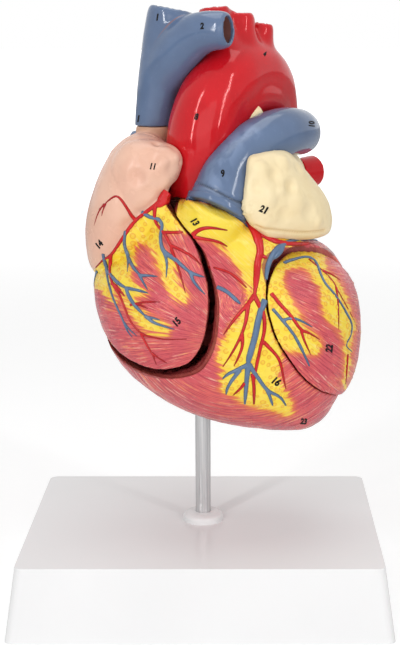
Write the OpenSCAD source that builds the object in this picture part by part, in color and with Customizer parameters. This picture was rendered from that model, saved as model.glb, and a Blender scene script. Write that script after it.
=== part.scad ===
// Life-size teaching model of the human heart, on a post and a plinth.
// Millimetres, +Z up, +X to the viewer's right, -Y towards the viewer.
// Origin: centre of the plinth's foot. The heart is drawn in its own frame, whose origin
// is the mouth of the post socket, and then lifted onto the post.

/* [Plinth] */
// Width of the plinth at its foot
plinth_w = 166; // [150:1:190]
// Depth of the plinth at its foot
plinth_d = 134; // [120:1:150]
// Height of the plinth
plinth_h = 32; // [26:1:40]
// How far each side leans in from foot to top
plinth_draft = 4.5; // [2:0.5:8]
// Wall of the moulded plinth
plinth_wall = 2.5; // [2:0.1:3.5]
// Corner radius of the plinth, seen from above
plinth_corner = 4; // [2:0.5:8]
// Height of the stiffening ribs under the top plate
rib_h = 9; // [5:1:14]
// Thickness of the stiffening ribs
rib_t = 2; // [1.5:0.1:3]

/* [Post] */
// Diameter of the steel post
post_d = 7; // [6:0.1:9]
// Length of post that shows between plinth and heart
post_reach = 51; // [40:1:70]
// Diameter of the threaded foot of the post
thread_d = 5; // [4:0.5:6]
// Diameter of the white collar round the post
collar_d = 18.5; // [14:0.5:26]
// Height of the white collar
collar_h = 4; // [3:0.5:8]
// Diameter of the boss under the top plate
boss_d = 16; // [14:0.5:24]
// Length of the boss under the top plate
boss_l = 12; // [8:1:16]
// Width across flats of the nut
nut_flats = 8; // [7:0.5:12]
// Thickness of the nut
nut_t = 4; // [3:0.5:6]
// Diameter of the washer above the nut
washer_d = 12; // [10:0.5:18]
// Thickness of that washer
washer_t = 1; // [0.8:0.1:2]

/* [Heart] */
// Depth of the post socket in the heart
socket_l = 18; // [12:1:20]
// Wall of the post socket
socket_wall = 2; // [1.5:0.1:3]
// Thickness of the cast heart wall
wall = 7; // [6:0.5:8]
// How far the ventricles swell to the front
ventricle_front = 48; // [46:0.5:50]
// How far the ventricles swell to the back
ventricle_back = 42; // [38:0.5:46]
// Wall of the blood vessels at their cut ends
vessel_wall = 1.6; // [1.2:0.1:2.2]
// Depth of the hollow in each cut vessel end
lumen_depth = 10; // [6:1:12]
// Depth of the hollow in the short pulmonary veins
vein_lumen_depth = 6; // [4:0.5:8]
// Thickness of a valve leaflet
leaflet_t = 1.2; // [1:0.1:1.6]
// Height of a valve's ring
ring_h = 3; // [2:0.5:4]
// How far the leaflets hang below their ring
leaflet_drop = 10; // [7:0.5:12]
// Radius of the leaflets' free edge as a share of the ring's
leaflet_taper = 0.72; // [0.6:0.02:0.85]
// Diameter of a tendinous cord
cord_d = 1.2; // [1:0.1:1.6]

/* [Covers] */
// Seam between each cover and the heart
seam = 0.8; // [0.5:0.1:1.2]
// Extra gap that the heart keeps open along the free edge of the right cover
right_gap = 3.2; // [2:0.1:4]
// Extra gap below the right cover
shelf_gap = 3.6; // [2:0.1:4.5]
// Extra gap along the upper edge of the left cover
left_gap = 3; // [1:0.1:3.5]
// How far the left cover stands proud of the heart
left_proud = 1.5; // [0:0.1:2.5]
// Diameter of the magnets
magnet_d = 4; // [3:0.5:4.5]
// Thickness of each magnet
magnet_t = 2.5; // [2:0.1:3]

/* [Fits] */
// Radial clearance of the post in the heart's socket
running_fit = 0.06; // [0.03:0.01:0.09]
// Radial clearance of glued and bolted pieces
slip_fit = 0.15; // [0.1:0.05:0.3]
// Glue line between neighbouring castings
glue = 0.2; // [0.1:0.05:0.3]

/* [Hidden] */
$fn = 48;
heart_z = plinth_h + post_reach;
steps = 2;          // spline steps between two outline points
rings = 7;          // rings of a bulged form on each side of its rim
inner_rings = 5;    // the same for a hollow
tube_sides = 18;
tip_h = 0.3;        // height of the low cone that closes each end of a tube
far = 200;          // longer than anything that a cutting block has to clear

// ---------------------------------------------------------------- outlines
// Front-view outlines as [x, z] in the heart's frame, anticlockwise from the right.

ventricle_outline = [
    [67.8, 38], [67.8, 50], [65.5, 60], [61.5, 69], [55, 76.5], [44, 81.5], [31, 84.5],
    [21, 89], [11, 93], [2, 97], [-8, 99], [-18, 97], [-26, 90], [-34, 80], [-42, 72],
    [-47.5, 63], [-47.5, 52], [-45, 42], [-41.5, 33], [-36, 24], [-28, 16], [-17, 8], [-5, 2],
    [9, -2.5], [24, -5], [36, -6], [47, -5.4], [54.5, -1.2], [59.5, 6], [64.5, 18]
];
ventricle_centre = [10, 45];
ventricle_swell = [0, ventricle_front, ventricle_back];

// The ventricles with the outward step of the left cover along their right side
left_cover_side = [
    [69.6, 38], [68.8, 50], [66, 60], [60.5, 68], [52, 74.5], [42, 77.5], [28, 81], [10, 92],
    [-10, 92], [-30, 80], [-44, 60], [-44, 36], [-30, 18], [-5, 2], [20, -4], [40, -4.5],
    [53, 2], [59.5, 9.5], [64.5, 14.5], [68.3, 25]
];

atrium_outline = [
    [-11, 110], [-13, 120], [-20, 126], [-28.5, 127], [-37, 121], [-42.6, 112.5], [-47, 102],
    [-50, 92], [-51.2, 81], [-49.5, 68], [-43, 63], [-32, 70], [-22, 82], [-14, 96]
];
atrium_centre = [-33, 98];
// A swell is the depth of a bulged form's rim, then how far it swells to front and back.
atrium_swell = [-5, 23, 27];

auricle_outline = [
    [-7, 116.5], [-9, 121.5], [-15, 124], [-24, 125.5], [-33, 123], [-39, 113], [-38, 102],
    [-30, 94], [-21, 95.5], [-14, 103], [-9.5, 109]
];
auricle_centre = [-24, 110];
auricle_swell = [-19, 13, 12];

left_atrium_outline = [
    [47.6, 93], [47.4, 104], [45, 112], [39, 117.5], [29, 119], [14, 119], [0, 117], [-10, 111], [-14, 98],
    [-12, 84], [-4, 76], [10, 72], [28, 73], [42, 79]
];
left_atrium_centre = [17, 95];
left_atrium_swell = [20, 22, 26];

left_auricle_outline = [
    [57.4, 89], [56, 96], [52.8, 102], [48, 108], [42, 115.5], [37, 120], [31.8, 121],
    [26, 120.5], [20.5, 119], [19, 112], [17.6, 103], [17.4, 98], [20, 92], [24, 88],
    [29, 84], [35, 82.6], [42, 81.8], [50, 81.6], [56, 83.6]
];
left_auricle_centre = [37, 101];
left_auricle_swell = [-19, 13, 16];

// Outer edge of the right cover. Left of the silhouette it runs in the open.
right_cover_outline = [
    [3.5, 56.2], [3.3, 66.4], [0.4, 76.6], [-3, 85], [-8.2, 91], [-12.6, 96], [-14.2, 99],
    [-12.5, 106], [-6, 112], [-4, 124], [-12, 134], [-34, 136], [-58, 120], [-62, 90],
    [-60, 56], [-49, 47], [-42, 39], [-35, 33.5], [-27, 30.5], [-18.5, 29.5], [-11, 31],
    [-3.6, 35], [1.5, 44.2]
];
right_cover_centre = [-22, 66];

left_cover_outline = [
    [78, 38], [76, 56], [69, 71], [61, 75], [54, 76.8], [45, 77], [38, 76.4], [32.5, 73],
    [29.2, 67], [28.5, 59.5], [30, 52], [33, 43.7], [37.5, 36], [44, 26.6], [51, 19.5],
    [57.5, 15], [63, 11.5], [70, 11], [78, 20]
];
left_cover_centre = [50, 46];

right_chamber_outline = [
    [12, 56], [10, 68], [5, 78], [-3, 85], [-13, 86], [-24, 79], [-33, 69], [-40, 58],
    [-40, 46], [-36, 36], [-28, 28], [-16, 25], [-4, 26], [6, 32], [11, 44]
];
right_chamber_centre = [-14, 56];
right_chamber_swell = [-12, 60, 28];

left_chamber_outline = [
    [59, 42], [58.5, 54], [55, 63], [48, 68], [38, 69], [29, 66], [25, 58], [26, 48],
    [30, 38], [37, 28], [44, 21], [50, 16], [55.5, 20], [58.5, 30]
];
left_chamber_centre = [46, 44];
left_chamber_swell = [-6, 60, 28];

// ------------------------------------------------------------- centrelines
// Vessel routes: [x, y, z, radius] in the heart's frame.

aorta_route = [
    [0, -4, 90, 12.6], [-0.2, -8, 104, 13.8], [0.2, -10, 117, 15], [1.6, -10, 129, 15.4],
    [5.2, -8, 140.5, 15], [11.5, -3, 149.2, 14.6], [18, 5, 153, 13.8], [24.5, 14, 151.5, 13.2],
    [29, 22.5, 145, 12.6], [31, 28, 135, 12], [31.5, 30, 124, 11.6]
];
// Fills the hollow of the arch
arch_web_route = [
    [6, -9, 128, 12], [14, -4, 139, 11], [21, 5, 143, 11], [27, 16, 140, 11], [30, 26, 132, 11]
];
brachiocephalic_route = [[11, -3, 154, 10], [8.8, -1, 163, 8.8], [6.6, 0.4, 171, 7], [5.6, 1, 180.3, 6.8]];
carotid_route = [[16.5, 4, 156, 9.6], [17, 4.5, 164, 8.8], [17.5, 5, 171, 6.2], [17.7, 5, 178, 5.4]];
subclavian_route = [[22.5, 11, 156, 9.4], [24.6, 12.6, 162.5, 7.8], [26.4, 13.7, 168, 5.4], [27, 14, 173.5, 4.9]];

pulmonary_route = [
    [6.8, -29.5, 96.4, 13.1], [9.4, -27.2, 102, 13], [13.6, -22.8, 111, 12.5], [20, -17, 119, 11.9],
    [28, -11, 124.6, 11.2], [35.5, -4, 127, 10.7], [40.5, 5, 126.8, 10.3], [43.5, 15, 125.5, 10]
];
right_pulmonary_route = [
    [24, -12, 120, 8], [16, 2, 120, 7.8], [6, 12.5, 120, 7.4], [-7, 16.5, 120.5, 7.2],
    [-20, 19.5, 120, 7], [-31, 23, 119, 6.8]
];
shoulder_outline = [
    [48, 74], [41, 84], [31, 89], [21, 94], [8, 98.5], [-6, 100], [-17, 98.5], [-21, 88],
    [-17, 70], [0, 58], [22, 56], [42, 62]
];
shoulder_centre = [12, 78];
shoulder_swell = [-14, 24, 16];

conus_route = [
    [-2, -14, 56, 20], [0, -18, 70, 19], [2.6, -24, 84, 16.6], [5.4, -28.8, 93, 14.2],
    [7, -29.6, 97.2, 13.4]
];
vena_cava_route = [
    [-21.4, 5, 106, 8.4], [-20.9, 3.5, 124, 8.1], [-19.8, 2, 136, 8.4], [-17.8, 0.5, 150, 9],
    [-15, 0, 166, 9.6], [-12.4, 0, 179.5, 9.6]
];
vena_cava_paint = 129.4;    // where the blue tube leaves its stump on the atrium
brachiocephalic_vein_route = [
    [-16, 0, 150, 9], [-11.5, -4.5, 159, 10.2], [-4, -10.5, 167, 9.2], [4, -15.5, 170.2, 7.9],
    [12, -18.8, 170.8, 7.3]
];
// Fat over the groove between right atrium and right ventricle
groove_route = [
    [-45.5, -3, 70, 3.5], [-42, -9, 73, 5.4], [-36.5, -14, 78, 6.8], [-30, -17, 84, 7.4],
    [-22, -20, 91, 7.6], [-15, -23, 98, 7], [-11, -24, 103, 5]
];
inferior_cava_route = [
    [-31, 12, 92, 9], [-33, 27, 84, 9], [-34, 37, 74, 8.8], [-34.5, 40, 63, 8.8]
];
left_vein_routes = [
    [[37, 15, 105.5, 6.6], [43.8, 22, 106.5, 6.8], [50.5, 29, 107, 7.1]],
    [[39, 20, 92, 6.2], [45.5, 26, 92, 6.2], [51.8, 31.5, 91.4, 6.3]]
];
right_vein_routes = [
    [[0.4, 34, 106, 6.4], [-14, 38, 107.2, 6.2], [-28, 41, 107.6, 6.4]],
    [[0, 36, 91, 6.2], [-14, 39.5, 90, 6], [-26, 42, 89, 6.2]]
];

// Valve rings: centre, then the direction of flow into the ventricle, then the radius.
tricuspid = [[-27, -2, 83], [0.45, -0.1, -0.88], 10.5];
mitral = [[33, 8, 77], [0.3, -0.1, -0.95], 10];
// Papillary muscles: foot on the chamber wall, tip, and radius of the foot.
right_papillary = [[[-25, 12, 36], [-22, -1, 49], 5.2], [[4, -4, 36], [-8, -9, 48], 5]];
left_papillary = [[[39, 20, 32], [40, 8, 47], 5.8], [[60, 6, 32], [51, 0, 47], 5.4]];

// Parting faces: depth at the cover's centre and slopes along x and z.
right_parting = [-1, 0, -0.17];
left_parting = [-12, 0.62, 0];
// The extra gap along the right cover's free edge lies right of this x, between these heights.
side_gap_x = -20;
side_gap_z = [24, 100];
// The extra gap below the right cover ends at this height.
shelf_gap_top = 62;
// Magnet places as [x, z] on each parting face.
right_magnets = [[-46.9, 88], [-44, 56], [-29, 122.8]];
left_magnets = [[63.3, 52], [61.6, 23]];

// ------------------------------------------------------- curves and solids

function catmull(a, b, c, d, t) =
    0.5 * (2 * b + (c - a) * t + (2 * a - 5 * b + 4 * c - d) * t * t
           + (3 * b - a - 3 * c + d) * t * t * t);

// A closed spline through the points, n steps from one to the next.
// shift slides the steps along the curve, and 0.5 puts them midway between their usual places.
function closed_spline(points, n = steps, shift = 0) =
    let (m = len(points))
    [for (k = [0 : m * n - 1])
        let (t = (k + shift + m * n) / n, i = floor(t))
        catmull(points[(i + m - 1) % m], points[i % m], points[(i + 1) % m],
                points[(i + 2) % m], t - i)];

function open_spline(points, n) =
    let (m = len(points))
    [for (i = [0 : m - 2], k = [0 : n - 1])
        catmull(points[max(i - 1, 0)], points[i], points[i + 1],
                points[min(i + 2, m - 1)], k / n),
     points[m - 1]];

function unit(v) = v / norm(v);
function place(p) = [p.x, p.y, p[2]];

// Rings of points, each with the same count, become one closed skin with a tip at each end.
module skin(loops, tips) {
    n = len(loops[0]);
    m = len(loops);
    points = concat([for (l = loops) each l], tips);
    sides = [for (i = [0 : m - 2], j = [0 : n - 1])
        let (a = i * n + j, b = i * n + (j + 1) % n)
        each [[a, b, b + n], [a, b + n, a + n]]];
    first = [for (j = [0 : n - 1]) [(j + 1) % n, j, m * n]];
    last = [for (j = [0 : n - 1]) [(m - 1) * n + j, (m - 1) * n + (j + 1) % n, m * n + 1]];
    polyhedron(points, concat(first, sides, last), convexity = 8);
}

// A closed front-view outline swelled to the front and the back.
// square is 2 for an ellipse and more for a boxier swell; lean slopes the rim plane.
module bulge(outline, centre, swell, square = 2.2, lean = [0, 0], grow = 0, m = rings) {
    loops = [for (i = [-m : m])
        let (a = i / m * 88.5,
             s = pow(cos(a), 2 / square),
             t = sign(a) * pow(abs(sin(a)), 2 / square) * (swell[a < 0 ? 1 : 2] + grow))
        [for (p = closed_spline(outline, shift = i / 2))
            let (r = p - centre,
                 q = centre + r * s * (1 + grow / norm(r)))
            [q.x, swell[0] + t + lean * (q - centre), q.y]]];
    skin(loops, [for (d = [-swell[1] - grow, swell[2] + grow]) [centre.x, swell[0] + d, centre.y]]);
}

// A round tube along a route of [x, y, z, radius].
module tube(route, grow = 0, n = 2, sides = tube_sides) {
    path = open_spline(route, n);
    m = len(path);
    side_way = [for (i = [0 : m - 1])
        unit(place(path[min(i + 1, m - 1)]) - place(path[max(i - 1, 0)]))];
    function turned(i, ref) =
        let (r = unit(ref - (ref * side_way[i]) * side_way[i]))
        i == m - 1 ? [r] : concat([r], turned(i + 1, r));
    start = abs(side_way[0].y) > 0.8 ? [1, 0, 0] : [0, 1, 0];
    refs = turned(0, start);
    skin([for (i = [0 : m - 1])
             let (u = refs[i], v = cross(side_way[i], u), r = path[i][3] + grow)
             [for (j = [0 : sides - 1])
                 let (a = 360 * (j + i / 2) / sides)
                 place(path[i]) + r * (cos(a) * u - sin(a) * v)]],
         [place(path[0]) - side_way[0] * tip_h, place(path[m - 1]) + side_way[m - 1] * tip_h]);
}

// The hollow in a vessel's last end: the route's last stretch, thinner and pushed out.
module end_hollow(route, depth = lumen_depth) {
    m = len(route);
    tip = place(route[m - 1]);
    way = unit(tip - place(route[m - 2]));
    r = route[m - 1][3] - vessel_wall;
    tube([for (k = [-1, 0.3])
        let (p = tip + way * depth * k)
        [p.x, p.y, p[2], r]], n = 1, sides = 14);
}

// Everything straight in front of a front-view outline, up to a sloped parting face.
// grow moves the edge out, and back moves the parting face away from the viewer.
module front_block(outline, centre, parting, grow = 0, back = 0) {
    edge = closed_spline(outline);
    m = len(edge);
    shell = [for (i = [0 : m - 1])
        let (t = unit(edge[(i + 1) % m] - edge[(i + m - 1) % m]))
        edge[i] + [t.y, -t.x] * grow];
    face_y = parting[0] + back - parting[1] * centre.x - parting[2] * centre.y;
    intersection() {
        rotate([90, 0, 0]) translate([0, 0, -far]) linear_extrude(2 * far) polygon(shell);
        multmatrix([[1, 0, 0, 0], [parting[1], 1, parting[2], face_y], [0, 0, 1, 0]])
            translate([-far, -2 * far, -far]) cube(2 * far);
    }
}

// A cylinder from a point along a way.
module rod_along(from, way, length, r, r2 = undef) {
    w = unit(way);
    translate(from)
        rotate([0, acos(w[2]), atan2(w.y, w.x)])
            cylinder(r1 = r, r2 = is_undef(r2) ? r : r2, h = length);
}

// Free-form castings are drawn as one mesh each.
module casting() {
    resize([0, 0, 0]) children();
}

// ------------------------------------------------------------ heart forms

module ventricle_form(grow = 0) {
    bulge(ventricle_outline, ventricle_centre, ventricle_swell, grow = grow);
}

module left_side_form(grow = 0) {
    bulge(left_cover_side, ventricle_centre, ventricle_swell, grow = grow + left_proud);
}

module conus_form(grow = 0) {
    tube(conus_route, grow);
    bulge(shoulder_outline, shoulder_centre, shoulder_swell, 2.3, [0.12, 0], grow);
}

module right_atrium_form(grow = 0, m = rings) {
    bulge(atrium_outline, atrium_centre, atrium_swell, 2.2, [0, -0.17], grow, m);
}

module right_auricle_form(grow = 0) {
    bulge(auricle_outline, auricle_centre, auricle_swell, 2.4, [-0.1, 0], grow);
}

module left_atrium_form(grow = 0, m = rings) {
    bulge(left_atrium_outline, left_atrium_centre, left_atrium_swell, 2.4, [0, 0], grow, m);
}

module left_auricle_form(grow = 0) {
    bulge(left_auricle_outline, left_auricle_centre, left_auricle_swell, 2.6, [0.72, 0], grow);
}

module aorta_form(grow = 0) {
    tube(aorta_route, grow);
    tube(brachiocephalic_route, grow, 2, 12);
    tube(carotid_route, grow, 2, 12);
    tube(subclavian_route, grow, 2, 12);
    tube(arch_web_route, grow);
}

module pulmonary_form(grow = 0) {
    tube(pulmonary_route, grow);
    tube(right_pulmonary_route, grow, 2, 16);
}

module vena_cava_form(grow = 0) {
    tube(vena_cava_route, grow);
    tube(brachiocephalic_vein_route, grow, 2, 16);
}

module vena_cava_stump(grow = 0) {
    intersection() {
        tube(vena_cava_route, grow);
        translate([-far / 2, -far / 2, vena_cava_paint - far])
            cube([far, far, far]);
    }
}

// Hollow of the right ventricle, a constant wall behind the skin
module right_chamber(grow = 0) {
    intersection() {
        union() {
            ventricle_form(grow - wall);
            conus_form(grow - wall);
        }
        bulge(right_chamber_outline, right_chamber_centre, right_chamber_swell, 3.6,
              grow = grow, m = inner_rings);
    }
}

// Hollow of the left ventricle
module left_chamber(grow = 0) {
    intersection() {
        left_side_form(grow - wall - left_proud);
        bulge(left_chamber_outline, left_chamber_centre, left_chamber_swell, 3.4,
              grow = grow, m = inner_rings);
    }
}

module right_atrium_chamber() {
    right_atrium_form(-wall - 1, inner_rings);
}

module left_atrium_chamber() {
    left_atrium_form(-wall, inner_rings);
}

// The way from an atrium through its valve ring into the ventricle
module valve_way(valve) {
    rod_along(valve[0] - unit(valve[1]) * 12, valve[1], 26, valve[2]);
}

module right_front(grow = 0, back = 0) {
    front_block(right_cover_outline, right_cover_centre, right_parting, grow, back);
}

module left_front(grow = 0, back = 0) {
    front_block(left_cover_outline, left_cover_centre, left_parting, grow, back);
}

// The heart's opening keeps a dark crescent along the cover's free edge.
module right_opening() {
    right_front(seam, seam);
    intersection() {
        translate([right_gap, 0, 0]) right_front(0, seam);
        translate([side_gap_x, -far, side_gap_z[0]])
            cube([far, 2 * far, side_gap_z[1] - side_gap_z[0]]);
    }
    intersection() {
        union() {
            translate([right_gap * 0.7, 0, -shelf_gap * 0.7]) right_front(0, seam);
            translate([0, 0, -shelf_gap]) right_front(0, seam);
        }
        translate([-far / 2, -far, shelf_gap_top - far]) cube([far, 2 * far, far]);
    }
}

module left_opening() {
    left_front(seam, seam);
    translate([-left_gap * 0.25, 0, left_gap]) left_front(0, seam);
}

// Puts a magnet-sized cylinder at each place on a parting face, from depth y0 to y0 + length.
module at_magnets(places, centre, parting, offset, length, r) {
    for (p = places) {
        y = parting[0] + parting[1] * (p.x - centre.x) + parting[2] * (p.y - centre.y);
        way = unit([-parting[1], 1, -parting[2]]);
        rod_along([p.x, y, p.y] + way * offset, way, length, r, undef);
    }
}

// ------------------------------------------------------------------ stand

module plinth_block(inset, low, high) {
    hull()
        for (level = [[low, 0], [high, plinth_draft * (high - low) / plinth_h]])
            translate([0, 0, level[0]])
                linear_extrude(0.01)
                    offset(r = plinth_corner, $fn = 32)
                        square([plinth_w - 2 * (inset + plinth_corner + level[1]),
                                plinth_d - 2 * (inset + plinth_corner + level[1])],
                               center = true);
}

module base_plinth() {
    inner_h = plinth_h - plinth_wall;
    color("white")
        difference() {
            union() {
                difference() {
                    plinth_block(0, 0, plinth_h - 0.01);
                    translate([0, 0, -0.02]) plinth_block(plinth_wall, 0, inner_h);
                }
                translate([0, 0, inner_h - boss_l]) cylinder(d = boss_d, h = boss_l + 0.5);
                for (turn = [0, 90])
                    rotate(turn)
                        translate([-(turn == 0 ? plinth_w : plinth_d) / 2 + plinth_draft + plinth_wall / 2,
                                   -rib_t / 2, inner_h - rib_h])
                            cube([(turn == 0 ? plinth_w : plinth_d) - 2 * plinth_draft - plinth_wall,
                                  rib_t, rib_h + 0.5]);
            }
            translate([0, 0, -1]) cylinder(d = thread_d + 2 * slip_fit, h = plinth_h + 2);
        }
}

module post_collar() {
    fillet = collar_h * 0.6;
    color("whitesmoke")
        translate([0, 0, plinth_h])
            rotate_extrude()
                polygon(concat(
                    [[post_d / 2 + slip_fit, 0], [collar_d / 2, 0]],
                    [for (a = [0 : 15 : 90])
                        [collar_d / 2 - fillet * 1.6 + fillet * 1.6 * cos(a),
                         collar_h - fillet + fillet * sin(a)]],
                    [[post_d / 2 + slip_fit, collar_h]]));
}

module support_post() {
    foot = boss_l + plinth_wall + washer_t + nut_t + 1.5;
    color("silver") {
        translate([0, 0, plinth_h])
            cylinder(d = post_d, h = post_reach + socket_l - 0.1);
        translate([0, 0, plinth_h - foot])
            cylinder(d = thread_d, h = foot);
    }
}

module post_washer() {
    color("silver")
        translate([0, 0, plinth_h - plinth_wall - boss_l - washer_t])
            difference() {
                cylinder(d = washer_d, h = washer_t);
                translate([0, 0, -1])
                    cylinder(d = thread_d + 2 * slip_fit, h = washer_t + 2);
            }
}

module post_nut() {
    color("silver")
        translate([0, 0, plinth_h - plinth_wall - boss_l - washer_t - nut_t])
            difference() {
                cylinder(d = nut_flats / cos(30), h = nut_t, $fn = 6);
                translate([0, 0, -1])
                    cylinder(d = thread_d + 2 * running_fit, h = nut_t + 2);
            }
}

module post_socket() {
    bore_r = post_d / 2 + running_fit;
    color("white")
        translate([0, 0, heart_z])
            difference() {
                cylinder(r = bore_r + socket_wall, h = socket_l + socket_wall);
                translate([0, 0, -1]) cylinder(r = bore_r, h = socket_l + 1);
            }
}

// ------------------------------------------------------------------ heart

module on_post() {
    translate([0, 0, heart_z]) children();
}

module socket_hole() {
    r = post_d / 2 + running_fit + socket_wall + slip_fit;
    translate([0, 0, -20])
        cylinder(r = r, h = 20 + socket_l + socket_wall + slip_fit, $fn = 32);
}

module heart_body() {
    color("indianred") on_post() casting()
        difference() {
            union() {
                ventricle_form();
                conus_form();
            }
            right_chamber();
            left_chamber();
            right_opening();
            left_opening();
            valve_way(tricuspid);
            valve_way(mitral);
            socket_hole();
            at_magnets(right_magnets, right_cover_centre, right_parting, 0,
                       magnet_t + slip_fit, magnet_d / 2 + slip_fit);
            at_magnets(left_magnets, left_cover_centre, left_parting, 0,
                       magnet_t + slip_fit, magnet_d / 2 + slip_fit);
        }
}

module right_atrium_base() {
    color("tan") on_post() casting()
        difference() {
            union() {
                difference() {
                    right_atrium_form();
                    right_opening();
                }
                vena_cava_stump();
            }
            right_atrium_chamber();
            ventricle_form(glue);
            conus_form(glue);
            aorta_form(seam);
            valve_way(tricuspid);
            at_magnets(right_magnets, right_cover_centre, right_parting, 0,
                       magnet_t + slip_fit, magnet_d / 2 + slip_fit);
        }
}

module left_atrium() {
    color("wheat") on_post() casting()
        difference() {
            left_atrium_form();
            left_atrium_chamber();
            ventricle_form(glue);
            conus_form(glue);
            right_atrium_form(glue);
            aorta_form(glue);
            pulmonary_form(glue);
            left_front(seam, seam);
            valve_way(mitral);
        }
}

module left_auricle() {
    color("moccasin") on_post() casting()
        difference() {
            left_auricle_form();
            left_atrium_form(glue);
            ventricle_form(glue);
            conus_form(glue);
            pulmonary_form(glue);
            left_front(seam, seam);
        }
}

module aorta() {
    color("red") on_post() casting()
        difference() {
            aorta_form();
            end_hollow(aorta_route);
            end_hollow(brachiocephalic_route);
            end_hollow(carotid_route);
            end_hollow(subclavian_route);
            ventricle_form(glue);
            conus_form(glue);
        }
}

module pulmonary_trunk() {
    color("slategray") on_post() casting()
        difference() {
            pulmonary_form();
            end_hollow(pulmonary_route);
            end_hollow(right_pulmonary_route);
            conus_form(glue);
            aorta_form(glue);
            vena_cava_form(glue);
        }
}

module superior_vena_cava() {
    color("slategray") on_post() casting()
        difference() {
            vena_cava_form();
            end_hollow(vena_cava_route);
            end_hollow(brachiocephalic_vein_route);
            translate([-far / 2, -far / 2, vena_cava_paint + glue - far])
                cube([far, far, far]);
            right_atrium_form(glue);
            aorta_form(glue);
        }
}

module inferior_vena_cava() {
    color("slategray") on_post() casting()
        difference() {
            tube(inferior_cava_route);
            end_hollow(inferior_cava_route);
            right_atrium_form(glue);
            ventricle_form(glue);
            left_atrium_form(glue);
        }
}

module vein_pair(routes) {
    color("firebrick") on_post() casting()
        difference() {
            for (route = routes) tube(route, 0, 2, 14);
            for (route = routes) end_hollow(route, vein_lumen_depth);
            left_atrium_form(glue);
            right_atrium_form(glue);
        }
}

module left_pulmonary_veins() {
    vein_pair(left_vein_routes);
}

module right_pulmonary_veins() {
    vein_pair(right_vein_routes);
}

// --------------------------------------------------------- valves and cords

// A ring with leaflets that hang into the ventricle and narrow towards their free edge.
module valve(valve, leaflets) {
    w = unit(valve[1]);
    r = valve[2] - glue;
    rim_r = r * leaflet_taper;
    color("linen") on_post() casting()
        translate(valve[0])
            rotate([0, acos(w[2]), atan2(w.y, w.x)])
                difference() {
                    union() {
                        cylinder(r = r, h = ring_h, $fn = 24);
                        translate([0, 0, ring_h])
                            cylinder(r1 = r, r2 = rim_r, h = leaflet_drop, $fn = 24);
                    }
                    translate([0, 0, -1])
                        cylinder(r = r - leaflet_t * 1.3, h = ring_h + 1.01, $fn = 24);
                    translate([0, 0, ring_h])
                        cylinder(r1 = r - leaflet_t * 1.3, r2 = rim_r - leaflet_t,
                                 h = leaflet_drop + 0.01, $fn = 24);
                    for (i = [0 : leaflets - 1])
                        rotate(i * 360 / leaflets)
                            translate([r * 0.86, 0, ring_h + leaflet_drop])
                                scale([1, 0.42, 1.5])
                                    sphere(r = leaflet_drop * 0.5, $fn = 16);
                }
}

module tricuspid_valve() {
    valve(tricuspid, 3);
}

module mitral_valve() {
    valve(mitral, 2);
}

module papillary_forms(muscles) {
    for (m = muscles)
        tube([concat(m[0], m[2] * 1.15),
              concat((m[0] * 2 + m[1]) / 3, m[2]),
              concat((m[0] + m[1] * 2) / 3, m[2] * 0.8),
              concat(m[1], m[2] * 0.4)], 0, 2, 12);
}

module right_papillary_muscles() {
    color("brown") on_post() casting()
        intersection() {
            papillary_forms(right_papillary);
            right_chamber(-glue);
        }
}

module left_papillary_muscles() {
    color("brown") on_post() casting()
        intersection() {
            papillary_forms(left_papillary);
            left_chamber(-glue);
        }
}

// Cords run from each papillary tip to the free edge of the leaflets.
// angles lists, for each muscle, where its cords meet the leaflets' rim.
module cords(valve, muscles, angles) {
    w = unit(valve[1]);
    side = unit(cross(w, [0, 1, 0]));
    front = cross(side, w);
    rim_r = valve[2] * leaflet_taper - leaflet_t / 2;
    color("linen") on_post()
        for (i = [0 : len(muscles) - 1], a = angles[i]) {
            tip = muscles[i][1];
            rim = valve[0] + w * (ring_h + leaflet_drop - cord_d / 2)
                  + (side * cos(a) + front * sin(a)) * rim_r;
            rod_along(tip, rim - tip, norm(rim - tip), cord_d / 2, $fn = 8);
        }
}

module right_tendinous_cords() {
    cords(tricuspid, right_papillary, [[150, 200], [330, 20]]);
}

module left_tendinous_cords() {
    cords(mitral, left_papillary, [[130, 230], [310, 50]]);
}

module body_magnets() {
    color("dimgray") on_post() {
        at_magnets(right_magnets, right_cover_centre, right_parting, running_fit, magnet_t,
                   magnet_d / 2);
        at_magnets(left_magnets, left_cover_centre, left_parting, running_fit, magnet_t,
                   magnet_d / 2);
    }
}

// ----------------------------------------------------------------- covers

module right_heart_cover() {
    color("lightsalmon") on_post() casting()
        difference() {
            intersection() {
                union() {
                    ventricle_form();
                    conus_form();
                    right_atrium_form();
                    right_auricle_form();
                    tube(groove_route);
                }
                right_front();
            }
            right_chamber();
            right_atrium_chamber();
            valve_way(tricuspid);
            aorta_form(seam);
            vena_cava_form(seam);
            at_magnets(right_magnets, right_cover_centre, right_parting, -magnet_t - slip_fit,
                       magnet_t + slip_fit + 1, magnet_d / 2 + slip_fit);
        }
}

module right_cover_magnets() {
    color("dimgray") on_post()
        at_magnets(right_magnets, right_cover_centre, right_parting, -magnet_t, magnet_t,
                   magnet_d / 2);
}

module left_ventricle_cover() {
    color("gold") on_post() casting()
        difference() {
            intersection() {
                left_side_form();
                left_front();
            }
            left_chamber();
            at_magnets(left_magnets, left_cover_centre, left_parting, -magnet_t - slip_fit,
                       magnet_t + slip_fit + 1, magnet_d / 2 + slip_fit);
        }
}

module left_cover_magnets() {
    color("dimgray") on_post()
        at_magnets(left_magnets, left_cover_centre, left_parting, -magnet_t, magnet_t,
                   magnet_d / 2);
}

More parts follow.
